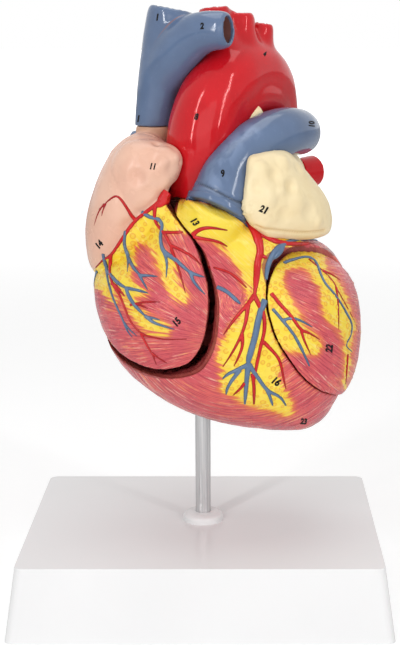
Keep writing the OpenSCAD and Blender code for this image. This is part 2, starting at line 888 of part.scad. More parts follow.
base_plinth();
post_collar();
support_post();
post_washer();
post_nut();
post_socket();
heart_body();
right_atrium_base();
left_atrium();
left_auricle();
aorta();
pulmonary_trunk();
superior_vena_cava();
inferior_vena_cava();
left_pulmonary_veins();
right_pulmonary_veins();
tricuspid_valve();
mitral_valve();
right_papillary_muscles();
left_papillary_muscles();
right_tendinous_cords();
left_tendinous_cords();
body_magnets();
right_heart_cover();
right_cover_magnets();
left_ventricle_cover();
left_cover_magnets();
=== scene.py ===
"""Looks for a human heart teaching model: painted castings and raised vessels, on a post and a plinth.

Lengths in the tables are millimetres in the heart's own frame, as in the part's source, and pixels
are places in the photograph's 400 x 646 frame. Blender works in metres.
"""

import math

import bmesh
import bpy
import numpy as np
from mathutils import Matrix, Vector, noise
from mathutils.bvhtree import BVHTree
from mathutils.kdtree import KDTree


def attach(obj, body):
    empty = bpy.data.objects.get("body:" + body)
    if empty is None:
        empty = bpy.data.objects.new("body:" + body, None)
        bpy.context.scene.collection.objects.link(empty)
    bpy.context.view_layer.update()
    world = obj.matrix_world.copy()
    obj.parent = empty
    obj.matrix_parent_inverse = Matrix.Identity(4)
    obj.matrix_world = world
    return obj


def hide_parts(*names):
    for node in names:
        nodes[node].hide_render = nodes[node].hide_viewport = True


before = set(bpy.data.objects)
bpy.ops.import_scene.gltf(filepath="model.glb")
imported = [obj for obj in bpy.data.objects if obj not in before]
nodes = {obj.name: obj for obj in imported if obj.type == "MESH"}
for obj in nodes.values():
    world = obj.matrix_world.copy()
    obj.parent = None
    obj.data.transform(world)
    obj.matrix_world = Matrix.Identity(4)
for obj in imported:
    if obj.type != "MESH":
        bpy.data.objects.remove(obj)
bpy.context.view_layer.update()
scene = bpy.context.scene

MM = 0.001
HEART_Z = 83.0

# ---- camera
CAM_AT = Vector((0.0165, -0.628, 0.258))
CAM_TILT = math.radians(12)
FOCAL_PX = 1428.0
CENTRE_PX = (239.0, 323.0)
PHOTO_W, PHOTO_H = 400, 646
SENSOR = 36

cam_data = bpy.data.cameras.new("camera")
cam = bpy.data.objects.new("camera", cam_data)
scene.collection.objects.link(cam)
cam_data.lens = FOCAL_PX / PHOTO_H * SENSOR
cam_data.sensor_width = SENSOR
cam_data.shift_x = (PHOTO_W / 2 - CENTRE_PX[0]) / PHOTO_H
cam.location = CAM_AT
cam.rotation_euler = (math.radians(90) - CAM_TILT, 0, 0)
scene.camera = cam


def px_way(px, py):
    """The way from the camera through a pixel of the photograph."""
    u = (px - CENTRE_PX[0]) / FOCAL_PX
    v = (CENTRE_PX[1] - py) / FOCAL_PX
    s, c = math.sin(CAM_TILT), math.cos(CAM_TILT)
    return Vector((u, v * s + c, v * c - s)).normalized()


def to_px(co):
    """Pixels of the photograph for an array of points."""
    d = co - np.array(CAM_AT)
    s, c = math.sin(CAM_TILT), math.cos(CAM_TILT)
    depth = d[:, 1] * c - d[:, 2] * s
    up = d[:, 1] * s + d[:, 2] * c
    return np.stack([CENTRE_PX[0] + FOCAL_PX * d[:, 0] / depth,
                     CENTRE_PX[1] - FOCAL_PX * up / depth], 1)


# ---- curves and solids
def catmull(a, b, c, d, t):
    """A smooth curve from b to c that heeds the points before and after."""
    return 0.5 * (2 * b + (c - a) * t + (2 * a - 5 * b + 4 * c - d) * t * t
                  + (3 * b - a - 3 * c + d) * t ** 3)


def closed_spline(points, n):
    """A smooth loop through points, with n steps between two of them."""
    p = np.array(points, float)
    m = len(p)
    return np.array([catmull(p[i - 1], p[i], p[(i + 1) % m], p[(i + 2) % m], k / n)
                     for i in range(m) for k in range(n)])


def open_spline(points, n):
    """A smooth path through points, with n steps between two of them."""
    p = np.array(points, float)
    m = len(p)
    rows = [catmull(p[max(i - 1, 0)], p[i], p[i + 1], p[min(i + 2, m - 1)], k / n)
            for i in range(m - 1) for k in range(n)]
    return np.array(rows + [p[-1]])


def unit(v):
    v = np.asarray(v, float)
    return v / np.linalg.norm(v)


def skin(loops, tips):
    """Rings of points with a tip at each end become one closed skin, as (points, faces)."""
    m, n = len(loops), len(loops[0])
    points = np.vstack([np.vstack(loops), tips])
    faces = []
    for i in range(m - 1):
        for j in range(n):
            a, b = i * n + j, i * n + (j + 1) % n
            faces.append((a, b, b + n, a + n))
    for j in range(n):
        k = (j + 1) % n
        faces.append((k, j, m * n))
        faces.append(((m - 1) * n + j, (m - 1) * n + k, m * n + 1))
    return points, faces


def bulge(outline, centre, y, front, back, square=2.2, lean=(0, 0), grow=0.0, steps=6, m=22):
    """A rounded solid about a front-view outline, with its depth in front of and behind y."""
    edge = closed_spline(outline, steps)
    c = np.array(centre, float)
    loops = []
    for i in range(-m, m + 1):
        a = math.radians(i / m * 88.5)
        s = math.cos(a) ** (2 / square)
        t = math.copysign(abs(math.sin(a)) ** (2 / square), a) * ((front if a < 0 else back) + grow)
        r = edge - c
        q = c + r * s * (1 + grow / np.linalg.norm(r, axis=1))[:, None]
        d = q - c
        loops.append(np.stack([q[:, 0], y + t + lean[0] * d[:, 0] + lean[1] * d[:, 1], q[:, 1]], 1))
    tips = [[c[0], y + d, c[1]] for d in (-front - grow, back + grow)]
    return skin(loops, tips)


def tube(route, grow=0.0, n=8, sides=48):
    """A solid round rod along a centreline with a radius at each point."""
    path = open_spline(route, n)
    m = len(path)
    ways = [unit(path[min(i + 1, m - 1), :3] - path[max(i - 1, 0), :3]) for i in range(m)]
    ref = np.array([1.0, 0, 0]) if abs(ways[0][1]) > 0.8 else np.array([0, 1.0, 0])
    loops = []
    for i in range(m):
        ref = unit(ref - ref.dot(ways[i]) * ways[i])
        side = np.cross(ways[i], ref)
        r = path[i, 3] + grow
        a = np.arange(sides) * 2 * math.pi / sides
        loops.append(path[i, :3] + r * (np.cos(a)[:, None] * ref - np.sin(a)[:, None] * side))
    return skin(loops, [path[0, :3] - ways[0] * 0.3, path[-1, :3] + ways[-1] * 0.3])


def front_block(outline, centre, parting, grow=0.0, back=0.0, dx=0.0, dz=0.0):
    """Everything inside an outline in front of a slanted parting face."""
    edge = closed_spline(outline, 8)
    m = len(edge)
    t = np.roll(edge, -1, 0) - np.roll(edge, 1, 0)
    t /= np.linalg.norm(t, axis=1)[:, None]
    shell = edge + np.stack([t[:, 1], -t[:, 0]], 1) * grow + np.array([dx, dz])
    c = np.array(centre, float) + np.array([dx, dz])
    face_y = parting[0] + back + parting[1] * (shell[:, 0] - c[0]) + parting[2] * (shell[:, 1] - c[1])
    front = np.stack([shell[:, 0], np.full(m, -200.0), shell[:, 1]], 1)
    rear = np.stack([shell[:, 0], face_y, shell[:, 1]], 1)
    faces = [(j, (j + 1) % m, m + (j + 1) % m, m + j) for j in range(m)]
    return np.vstack([front, rear]), faces + [tuple(range(m - 1, -1, -1)), tuple(range(m, 2 * m))]


def box_solid(low, high):
    x, y, z = zip(low, high)
    points = [(x[i & 1], y[i >> 1 & 1], z[i >> 2]) for i in range(8)]
    faces = [(0, 2, 3, 1), (4, 5, 7, 6), (0, 1, 5, 4), (2, 6, 7, 3), (0, 4, 6, 2), (1, 3, 7, 5)]
    return np.array(points), faces


def rod(start, way, length, r, sides=48):
    """A straight cylinder from a point along a direction."""
    w = unit(way)
    ref = np.array([0, 1.0, 0]) if abs(w[1]) < 0.8 else np.array([1.0, 0, 0])
    u = unit(ref - ref.dot(w) * w)
    v = np.cross(w, u)
    a = np.arange(sides) * 2 * math.pi / sides
    ring = np.cos(a)[:, None] * u - np.sin(a)[:, None] * v
    start = np.array(start, float)
    return skin([start + r * ring, start + w * length + r * ring], [start, start + w * length])


def to_object(name, form, lift=HEART_Z):
    points, faces = form
    mesh = bpy.data.meshes.new(name)
    p = (np.asarray(points) + np.array([0, 0, lift])) * MM
    mesh.from_pydata(p.tolist(), [], faces)
    o = bpy.data.objects.new(name, mesh)
    scene.collection.objects.link(o)
    bm = bmesh.new()
    bm.from_mesh(mesh)
    bmesh.ops.recalc_face_normals(bm, faces=bm.faces)
    bm.to_mesh(mesh)
    bm.free()
    return o


def apply_all(o):
    """The object's modifiers become its mesh."""
    deps = bpy.context.evaluated_depsgraph_get()
    mesh = bpy.data.meshes.new_from_object(o.evaluated_get(deps))
    old = o.data
    o.modifiers.clear()
    o.data = mesh
    bpy.data.meshes.remove(old)


def combine(name, forms, operation, base=None):
    """One solid from forms. base, if given, is the object that they act on."""
    forms = list(forms)
    o = base or to_object(name, forms.pop(0))
    tools = []
    for form in forms:
        t = form if isinstance(form, bpy.types.Object) else to_object("tool", form)
        tools.append(t)
        mod = o.modifiers.new("b", "BOOLEAN")
        mod.operation = operation
        mod.solver = "MANIFOLD"
        mod.object = t
        t.hide_render = True
    apply_all(o)
    for t in tools:
        bpy.data.objects.remove(t)
    o.name = name
    return o


def union(name, *forms):
    """One casting from several forms."""
    return combine(name, forms, "UNION")


def cut(o, *forms):
    """An object without what lies in any of the forms."""
    return combine(o.name, forms, "DIFFERENCE", o)


def keep(o, *forms):
    """The part of an object that lies in all the forms."""
    return combine(o.name, forms, "INTERSECT", o)


def smooth_pass(o, rounds, factor=0.5):
    mod = o.modifiers.new("s", "SMOOTH")
    mod.factor = factor
    mod.iterations = rounds


def remesh(o, voxel, rounds=3):
    """An even mesh with softly rounded edges."""
    mod = o.modifiers.new("r", "REMESH")
    mod.mode = "VOXEL"
    mod.voxel_size = voxel * MM
    mod.use_smooth_shade = True
    if rounds:
        smooth_pass(o, rounds)
    apply_all(o)
    return o


# ---- forms
# Front-view outlines as [x, z], anticlockwise, and centrelines as [x, y, z, radius].
VENTRICLE_OUTLINE = [
    [67.8, 38], [67.8, 50], [65.5, 60], [61.5, 69], [55, 76.5], [44, 81.5], [31, 84.5],
    [21, 89], [11, 93], [2, 97], [-8, 99], [-18, 97], [-26, 90], [-34, 80], [-42, 72],
    [-47.5, 63], [-47.5, 52], [-45, 42], [-41.5, 33], [-36, 24], [-28, 16], [-17, 8], [-5, 2],
    [9, -2.5], [24, -5], [36, -6], [47, -5.4], [54.5, -1.2], [59.5, 6], [64.5, 18]
]
LEFT_COVER_SIDE = [
    [69.6, 38], [68.8, 50], [66, 60], [60.5, 68], [52, 74.5], [42, 77.5], [28, 81], [10, 92],
    [-10, 92], [-30, 80], [-44, 60], [-44, 36], [-30, 18], [-5, 2], [20, -4], [40, -4.5],
    [53, 2], [59.5, 9.5], [64.5, 14.5], [68.3, 25]
]
ATRIUM_OUTLINE = [
    [-11, 110], [-13, 120], [-20, 126], [-28.5, 127], [-37, 121], [-42.6, 112.5], [-47, 102],
    [-50, 92], [-51.2, 81], [-49.5, 68], [-43, 63], [-32, 70], [-22, 82], [-14, 96]
]
AURICLE_OUTLINE = [
    [-7, 116.5], [-9, 121.5], [-15, 124], [-24, 125.5], [-33, 123], [-39, 113], [-38, 102],
    [-30, 94], [-21, 95.5], [-14, 103], [-9.5, 109]
]
LEFT_ATRIUM_OUTLINE = [
    [47.6, 93], [47.4, 104], [45, 112], [39, 117.5], [29, 119], [14, 119], [0, 117], [-10, 111], [-14, 98],
    [-12, 84], [-4, 76], [10, 72], [28, 73], [42, 79]
]
LEFT_AURICLE_OUTLINE = [
    [57.4, 89], [56, 96], [52.8, 102], [48, 108], [42, 115.5], [37, 120], [31.8, 121],
    [26, 120.5], [20.5, 119], [19, 112], [17.6, 103], [17.4, 98], [20, 92], [24, 88],
    [29, 84], [35, 82.6], [42, 81.8], [50, 81.6], [56, 83.6]
]
RIGHT_COVER_OUTLINE = [
    [3.5, 56.2], [3.3, 66.4], [0.4, 76.6], [-3, 85], [-8.2, 91], [-12.6, 96], [-14.2, 99],
    [-12.5, 106], [-6, 112], [-4, 124], [-12, 134], [-34, 136], [-58, 120], [-62, 90],
    [-60, 56], [-49, 47], [-42, 39], [-35, 33.5], [-27, 30.5], [-18.5, 29.5], [-11, 31],
    [-3.6, 35], [1.5, 44.2]
]
LEFT_COVER_OUTLINE = [
    [78, 38], [76, 56], [69, 71], [61, 75], [54, 76.8], [45, 77], [38, 76.4], [32.5, 73],
    [29.2, 67], [28.5, 59.5], [30, 52], [33, 43.7], [37.5, 36], [44, 26.6], [51, 19.5],
    [57.5, 15], [63, 11.5], [70, 11], [78, 20]
]
RIGHT_CHAMBER_OUTLINE = [
    [12, 56], [10, 68], [5, 78], [-3, 85], [-13, 86], [-24, 79], [-33, 69], [-40, 58],
    [-40, 46], [-36, 36], [-28, 28], [-16, 25], [-4, 26], [6, 32], [11, 44]
]
LEFT_CHAMBER_OUTLINE = [
    [59, 42], [58.5, 54], [55, 63], [48, 68], [38, 69], [29, 66], [25, 58], [26, 48],
    [30, 38], [37, 28], [44, 21], [50, 16], [55.5, 20], [58.5, 30]
]
SHOULDER_OUTLINE = [
    [48, 74], [41, 84], [31, 89], [21, 94], [8, 98.5], [-6, 100], [-17, 98.5], [-21, 88],
    [-17, 70], [0, 58], [22, 56], [42, 62]
]
AORTA_ROUTE = [
    [0, -4, 90, 12.6], [-0.2, -8, 104, 13.8], [0.2, -10, 117, 15], [1.6, -10, 129, 15.4],
    [5.2, -8, 140.5, 15], [11.5, -3, 149.2, 14.6], [18, 5, 153, 13.8], [24.5, 14, 151.5, 13.2],
    [29, 22.5, 145, 12.6], [31, 28, 135, 12], [31.5, 30, 124, 11.6]
]
ARCH_WEB_ROUTE = [
    [6, -9, 128, 12], [14, -4, 139, 11], [21, 5, 143, 11], [27, 16, 140, 11], [30, 26, 132, 11]
]
BRACHIOCEPHALIC_ROUTE = [[11, -3, 154, 10], [8.8, -1, 163, 8.8], [6.6, 0.4, 171, 7], [5.6, 1, 180.3, 6.8]]
CAROTID_ROUTE = [[16.5, 4, 156, 9.6], [17, 4.5, 164, 8.8], [17.5, 5, 171, 6.2], [17.7, 5, 178, 5.4]]
SUBCLAVIAN_ROUTE = [
    [22.5, 11, 156, 9.4], [24.6, 12.6, 162.5, 7.8], [26.4, 13.7, 168, 5.4], [27, 14, 173.5, 4.9]
]
PULMONARY_ROUTE = [
    [6.8, -29.5, 96.4, 13.1], [9.4, -27.2, 102, 13], [13.6, -22.8, 111, 12.5], [20, -17, 119, 11.9],
    [28, -11, 124.6, 11.2], [35.5, -4, 127, 10.7], [40.5, 5, 126.8, 10.3], [43.5, 15, 125.5, 10]
]
RIGHT_PULMONARY_ROUTE = [
    [24, -12, 120, 8], [16, 2, 120, 7.8], [6, 12.5, 120, 7.4], [-7, 16.5, 120.5, 7.2],
    [-20, 19.5, 120, 7], [-31, 23, 119, 6.8]
]
CONUS_ROUTE = [
    [-2, -14, 56, 20], [0, -18, 70, 19], [2.6, -24, 84, 16.6], [5.4, -28.8, 93, 14.2],
    [7, -29.6, 97.2, 13.4]
]
VENA_CAVA_ROUTE = [
    [-21.4, 5, 106, 8.4], [-20.9, 3.5, 124, 8.1], [-19.8, 2, 136, 8.4], [-17.8, 0.5, 150, 9],
    [-15, 0, 166, 9.6], [-12.4, 0, 179.5, 9.6]
]
BRACHIOCEPHALIC_VEIN_ROUTE = [
    [-16, 0, 150, 9], [-11.5, -4.5, 159, 10.2], [-4, -10.5, 167, 9.2], [4, -15.5, 170.2, 7.9],
    [12, -18.8, 170.8, 7.3]
]
GROOVE_ROUTE = [
    [-45.5, -3, 70, 3.5], [-42, -9, 73, 5.4], [-36.5, -14, 78, 6.8], [-30, -17, 84, 7.4],
    [-22, -20, 91, 7.6], [-15, -23, 98, 7], [-11, -24, 103, 5]
]
INFERIOR_CAVA_ROUTE = [
    [-31, 12, 92, 9], [-33, 27, 84, 9], [-34, 37, 74, 8.8], [-34.5, 40, 63, 8.8]
]
LEFT_VEIN_ROUTES = [
    [[37, 15, 105.5, 6.6], [43.8, 22, 106.5, 6.8], [50.5, 29, 107, 7.1]],
    [[39, 20, 92, 6.2], [45.5, 26, 92, 6.2], [51.8, 31.5, 91.4, 6.3]]
]
RIGHT_VEIN_ROUTES = [
    [[0.4, 34, 106, 6.4], [-14, 38, 107.2, 6.2], [-28, 41, 107.6, 6.4]],
    [[0, 36, 91, 6.2], [-14, 39.5, 90, 6], [-26, 42, 89, 6.2]]
]
LIGAMENT_ROUTE = [[10.5, -10.5, 126, 3.7], [17.8, -8.5, 131.6, 4.3], [25, -5, 136.6, 3.8]]


# ---- surface fields
def coords(o):
    co = np.zeros(len(o.data.vertices) * 3)
    o.data.vertices.foreach_get("co", co)
    return co.reshape(-1, 3)


def normals(o):
    no = np.zeros(len(o.data.vertices) * 3)
    o.data.vertices.foreach_get("normal", no)
    return no.reshape(-1, 3)


def set_coords(o, co):
    o.data.vertices.foreach_set("co", co.ravel())
    o.data.update()


def put_field(o, name, values):
    """Stores one number, or one vector, for each point of a piece."""
    kind = "FLOAT" if values.ndim == 1 else "FLOAT_VECTOR"
    a = o.data.attributes.new(name, kind, "POINT")
    a.data.foreach_set("value" if values.ndim == 1 else "vector", values.astype(np.float32).ravel())


def smoothstep(low, high, v):
    t = np.clip((v - low) / (high - low), 0, 1)
    return t * t * (3 - 2 * t)


def inside_by(p, outline):
    """How far points lie inside a closed outline in pixels, negative outside."""
    a = closed_spline(outline, 3)
    best = np.full(len(p), 1e9)
    inside = np.zeros(len(p), bool)
    for s, e in zip(a, np.roll(a, -1, 0)):
        w = e - s
        t = np.clip(((p - s) @ w) / max(w @ w, 1e-12), 0, 1)
        best = np.minimum(best, np.hypot(*(p - s - t[:, None] * w).T))
        if s[1] != e[1]:
            across = (s[1] > p[:, 1]) != (e[1] > p[:, 1])
            inside ^= across & (p[:, 0] < (e[0] - s[0]) * (p[:, 1] - s[1]) / (e[1] - s[1]) + s[0])
    return np.where(inside, best, -best)


def merged(forms):
    """Several forms as one list of points and one of faces."""
    points, faces = [], []
    for p, f in forms:
        n = len(points)
        points += p.tolist()
        faces += [[n + i for i in face] for face in f]
    return points, faces


def tree_of(*objects):
    """A search tree of finished pieces."""
    return BVHTree.FromPolygons(*merged((coords(o), [p.vertices[:] for p in o.data.polygons])
                                        for o in objects))


def gap_to(tree, co):
    """Distance in millimetres from each point to a surface."""
    return np.array([tree.find_nearest(Vector(p))[3] for p in co]) / MM


def wander(co, size, seed, octaves=2):
    """Smooth noise from -1 to 1 at a size in millimetres."""
    shift = Vector((seed * 17.3, seed * 7.1, seed * 3.7))
    return np.array([noise.fractal(Vector(p) / (size * MM) + shift, 1.0, 2.0, octaves) for p in co])


def push(o, amount):
    """Moves each point along its normal by millimetres."""
    set_coords(o, coords(o) + normals(o) * (np.atleast_1d(amount) * MM)[:, None])


# ---- sizes and forms of the castings
WALL = 7.0
GLUE = 0.2                  # left between glued pieces
SEAM = 0.8                  # left round the lids
RIGHT_GAP = 3.2
SHELF_GAP = 3.6
LEFT_GAP = 3.0
PROUD = 1.5                 # how far the left lid stands out of the heart's side
VESSEL_WALL = 1.6
LUMEN = 10.0
VEIN_LUMEN = 6.0
PAINT_Z = 129.4             # where the blue tube leaves its stump on the atrium
RIGHT_CENTRE = (-22, 66)
LEFT_CENTRE = (50, 46)
RIGHT_PARTING = (-1, 0, -0.17)
LEFT_PARTING = (-12, 0.62, 0)
RIGHT_MAGNETS = [(-46.9, 88), (-44, 56), (-29, 122.8)]
LEFT_MAGNETS = [(63.3, 52), (61.6, 23)]
MAGNET_R = 2.15
BODY_HOLE = (0, 2.65)       # a magnet hole's start past the parting face, and its length
LID_HOLE = (-2.65, 3.65)
POST_HOLE_R = 5.71
POST_HOLE_TOP = 20.15
EVERYWHERE = 100
TRICUSPID = ((-27, -2, 83), (0.45, -0.1, -0.88), 10.5)
MITRAL = ((33, 8, 77), (0.3, -0.1, -0.95), 10)


def ventricle(grow=0.0):
    return bulge(VENTRICLE_OUTLINE, (10, 45), 0, 48, 42, grow=grow)


def left_side(grow=0.0):
    return bulge(LEFT_COVER_SIDE, (10, 45), 0, 48, 42, grow=grow + PROUD)


def conus(grow=0.0):
    return [tube(CONUS_ROUTE, grow),
            bulge(SHOULDER_OUTLINE, (12, 78), -14, 24, 16, 2.3, (0.12, 0), grow)]


def right_atrium(grow=0.0):
    return bulge(ATRIUM_OUTLINE, (-33, 98), -5, 23, 27, 2.2, (0, -0.17), grow)


def right_auricle(grow=0.0):
    return bulge(AURICLE_OUTLINE, (-24, 110), -19, 13, 12, 2.4, (-0.1, 0), grow)


def left_atrium(grow=0.0):
    return bulge(LEFT_ATRIUM_OUTLINE, (17, 95), 20, 22, 26, 2.4, (0, 0), grow)


def left_auricle(grow=0.0):
    return bulge(LEFT_AURICLE_OUTLINE, (37, 101), -19, 13, 16, 2.6, (0.72, 0), grow)


def tubes(routes, grow=0.0):
    return [tube(r, grow) for r in routes]


AORTA = [AORTA_ROUTE, ARCH_WEB_ROUTE, BRACHIOCEPHALIC_ROUTE, CAROTID_ROUTE, SUBCLAVIAN_ROUTE]
PULMONARY = [PULMONARY_ROUTE, RIGHT_PULMONARY_ROUTE]
CAVA = [VENA_CAVA_ROUTE, BRACHIOCEPHALIC_VEIN_ROUTE]


def below(z):
    """All the space under a height."""
    return box_solid((-EVERYWHERE, -EVERYWHERE, 0), (EVERYWHERE, EVERYWHERE, z))


def hollow(route, depth=LUMEN):
    """The hollow in a vessel's last end."""
    tip, before = np.array(route[-1][:3], float), np.array(route[-2][:3], float)
    way = unit(tip - before)
    return rod(tip - way * depth, way, depth * 1.3, route[-1][3] - VESSEL_WALL)


def right_front(grow=0.0, back=0.0, dx=0.0, dz=0.0):
    return front_block(RIGHT_COVER_OUTLINE, RIGHT_CENTRE, RIGHT_PARTING, grow, back, dx, dz)


def left_front(grow=0.0, back=0.0, dx=0.0, dz=0.0):
    return front_block(LEFT_COVER_OUTLINE, LEFT_CENTRE, LEFT_PARTING, grow, back, dx, dz)


def right_chamber():
    o = union("chamber", ventricle(-WALL), *conus(-WALL))
    return keep(o, bulge(RIGHT_CHAMBER_OUTLINE, (-14, 56), -12, 60, 28, 3.6))


def left_chamber():
    o = to_object("chamber", left_side(-WALL - PROUD))
    return keep(o, bulge(LEFT_CHAMBER_OUTLINE, (46, 44), -6, 60, 28, 3.4))


def valve_way(valve):
    """The round passage that holds a valve."""
    at, way, r = valve
    return rod(np.array(at) - unit(way) * 12, way, 26, r)


def magnet_holes(places, centre, parting, offset, length):
    """Blind holes square to a parting face."""
    way = unit([-parting[1], 1, -parting[2]])
    out = []
    for x, z in places:
        y = parting[0] + parting[1] * (x - centre[0]) + parting[2] * (z - centre[1])
        out.append(rod(np.array([x, y, z]) + way * offset, way, length, MAGNET_R, 32))
    return out


def right_opening():
    """The heart's own opening keeps a dark crescent along the lid's free edge."""
    return [right_front(SEAM, SEAM), right_front(0, SEAM, RIGHT_GAP * 0.45),
            right_front(0, SEAM, RIGHT_GAP * 0.85, -SHELF_GAP * 0.7), right_front(0, SEAM, 0, -SHELF_GAP)]


def opening_ledge(width, depth):
    """The heart's wall is cut back a little beside the right lid, widest at the lower right."""
    o = to_object("ledge", right_front(0, SEAM, RIGHT_GAP * 0.8 + width, -SHELF_GAP * 0.7 - width * 0.8))
    return cut(o, ventricle(-depth), *conus(-depth))


# ---- castings
body = union("heart_muscle", ventricle(), *conus())
cut(body, right_chamber(), left_chamber(), *right_opening(), opening_ledge(0.9, 4.6),
    opening_ledge(1.9, 2.6), left_front(SEAM, SEAM),
    left_front(0, SEAM, -LEFT_GAP * 0.25, LEFT_GAP), valve_way(TRICUSPID), valve_way(MITRAL),
    rod((0, 0, -20), (0, 0, 1), 20 + POST_HOLE_TOP, POST_HOLE_R),
    *magnet_holes(RIGHT_MAGNETS, RIGHT_CENTRE, RIGHT_PARTING, *BODY_HOLE),
    *magnet_holes(LEFT_MAGNETS, LEFT_CENTRE, LEFT_PARTING, *BODY_HOLE))
remesh(body, 0.6)

right_base = cut(to_object("right_atrium_back", right_atrium()), *right_opening())
stump = keep(to_object("stump", tube(VENA_CAVA_ROUTE)), below(PAINT_Z))
combine("right_atrium_back", [stump], "UNION", right_base)
cut(right_base, right_atrium(-WALL - 1), ventricle(GLUE), *conus(GLUE), *tubes(AORTA, SEAM),
    valve_way(TRICUSPID), *magnet_holes(RIGHT_MAGNETS, RIGHT_CENTRE, RIGHT_PARTING, *BODY_HOLE))
remesh(right_base, 0.6)

atrium = cut(to_object("left_atrium_shell", left_atrium()), left_atrium(-WALL), ventricle(GLUE),
             *conus(GLUE), right_atrium(GLUE), *tubes(AORTA, GLUE), *tubes(PULMONARY, GLUE),
             left_front(SEAM, SEAM), valve_way(MITRAL))
remesh(atrium, 0.7)

auricle = cut(to_object("left_auricle_lobe", left_auricle()), left_atrium(GLUE), ventricle(GLUE),
              *conus(GLUE), *tubes(PULMONARY, GLUE), left_front(SEAM, SEAM))
remesh(auricle, 0.5)

aorta = remesh(union("aorta_tubes", *tubes(AORTA)), 0.8, 50)
push(aorta, 0.35)
cut(aorta, *[hollow(AORTA[i]) for i in (0, 2, 3, 4)], ventricle(GLUE), *conus(GLUE))
remesh(aorta, 0.55)

pulmonary = union("pulmonary_tubes", *tubes(PULMONARY))
cut(pulmonary, *[hollow(r) for r in PULMONARY], *conus(GLUE), *tubes(AORTA, GLUE), *tubes(CAVA, GLUE))
remesh(pulmonary, 0.55)

cava = remesh(union("upper_vena_cava", *tubes(CAVA)), 0.8, 44)
push(cava, 0.6)
cut(cava, *[hollow(r) for r in CAVA], below(PAINT_Z + GLUE), *tubes(AORTA, GLUE))
remesh(cava, 0.5)

low_cava = cut(to_object("lower_vena_cava", tube(INFERIOR_CAVA_ROUTE)), hollow(INFERIOR_CAVA_ROUTE),
               right_atrium(GLUE), ventricle(GLUE), left_atrium(GLUE))
remesh(low_cava, 0.55)


def lung_veins(name, routes):
    o = union(name, *tubes(routes))
    cut(o, *[hollow(r, VEIN_LUMEN) for r in routes], left_atrium(GLUE), right_atrium(GLUE))
    return remesh(o, 0.5)


left_veins = lung_veins("left_lung_veins", LEFT_VEIN_ROUTES)
right_veins = lung_veins("right_lung_veins", RIGHT_VEIN_ROUTES)

right_lid = union("right_lid", ventricle(), *conus(), right_atrium(), right_auricle(), tube(GROOVE_ROUTE))
keep(right_lid, right_front())
cut(right_lid, right_chamber(), right_atrium(-WALL - 1), valve_way(TRICUSPID), *tubes(AORTA, SEAM),
    *tubes(CAVA, SEAM), *magnet_holes(RIGHT_MAGNETS, RIGHT_CENTRE, RIGHT_PARTING, *LID_HOLE))
remesh(right_lid, 0.5)

left_lid = keep(to_object("left_lid", left_side()), left_front())
cut(left_lid, left_chamber(), *magnet_holes(LEFT_MAGNETS, LEFT_CENTRE, LEFT_PARTING, *LID_HOLE))
remesh(left_lid, 0.5)


def recast(name, node, voxel, rounds):
    """A smoother casting in a node's own place."""
    o = nodes[node].copy()
    o.data = nodes[node].data.copy()
    o.name = name
    for key in list(o.keys()):
        del o[key]
    o.parent = None
    scene.collection.objects.link(o)
    bm = bmesh.new()
    bm.from_mesh(o.data)
    bmesh.ops.remove_doubles(bm, verts=bm.verts, dist=1e-6)
    bm.to_mesh(o.data)
    bm.free()
    return remesh(o, voxel, rounds)


tricuspid = recast("tricuspid_leaflets", "tricuspid_valve", 0.35, 4)
mitral = recast("mitral_leaflets", "mitral_valve", 0.35, 4)
right_pillars = recast("right_pillars", "right_papillary_muscles", 0.4, 14)
left_pillars = recast("left_pillars", "left_papillary_muscles", 0.4, 14)

STANDS_FOR = {
    "heart": [
        (body, "heart_body", "muscle"), (right_base, "right_atrium_base", "atrium_pink"),
        (atrium, "left_atrium", "auricle_cream"), (auricle, "left_auricle", "auricle_cream"),
        (aorta, "aorta", "artery_red"), (pulmonary, "pulmonary_trunk", "vein_blue"),
        (cava, "superior_vena_cava", "vein_blue"), (low_cava, "inferior_vena_cava", "vein_blue"),
        (left_veins, "left_pulmonary_veins", "artery_red"),
        (right_veins, "right_pulmonary_veins", "artery_red"),
        (tricuspid, "tricuspid_valve", "valve_cream"), (mitral, "mitral_valve", "valve_cream"),
        (right_pillars, "right_papillary_muscles", "inner_muscle"),
        (left_pillars, "left_papillary_muscles", "inner_muscle"),
    ],
    "right_cover": [(right_lid, "right_heart_cover", "cover_right")],
    "left_cover": [(left_lid, "left_ventricle_cover", "cover_left")],
}
for carrier, rows in STANDS_FOR.items():
    for piece, node, slot in rows:
        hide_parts(node)
        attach(piece, carrier)


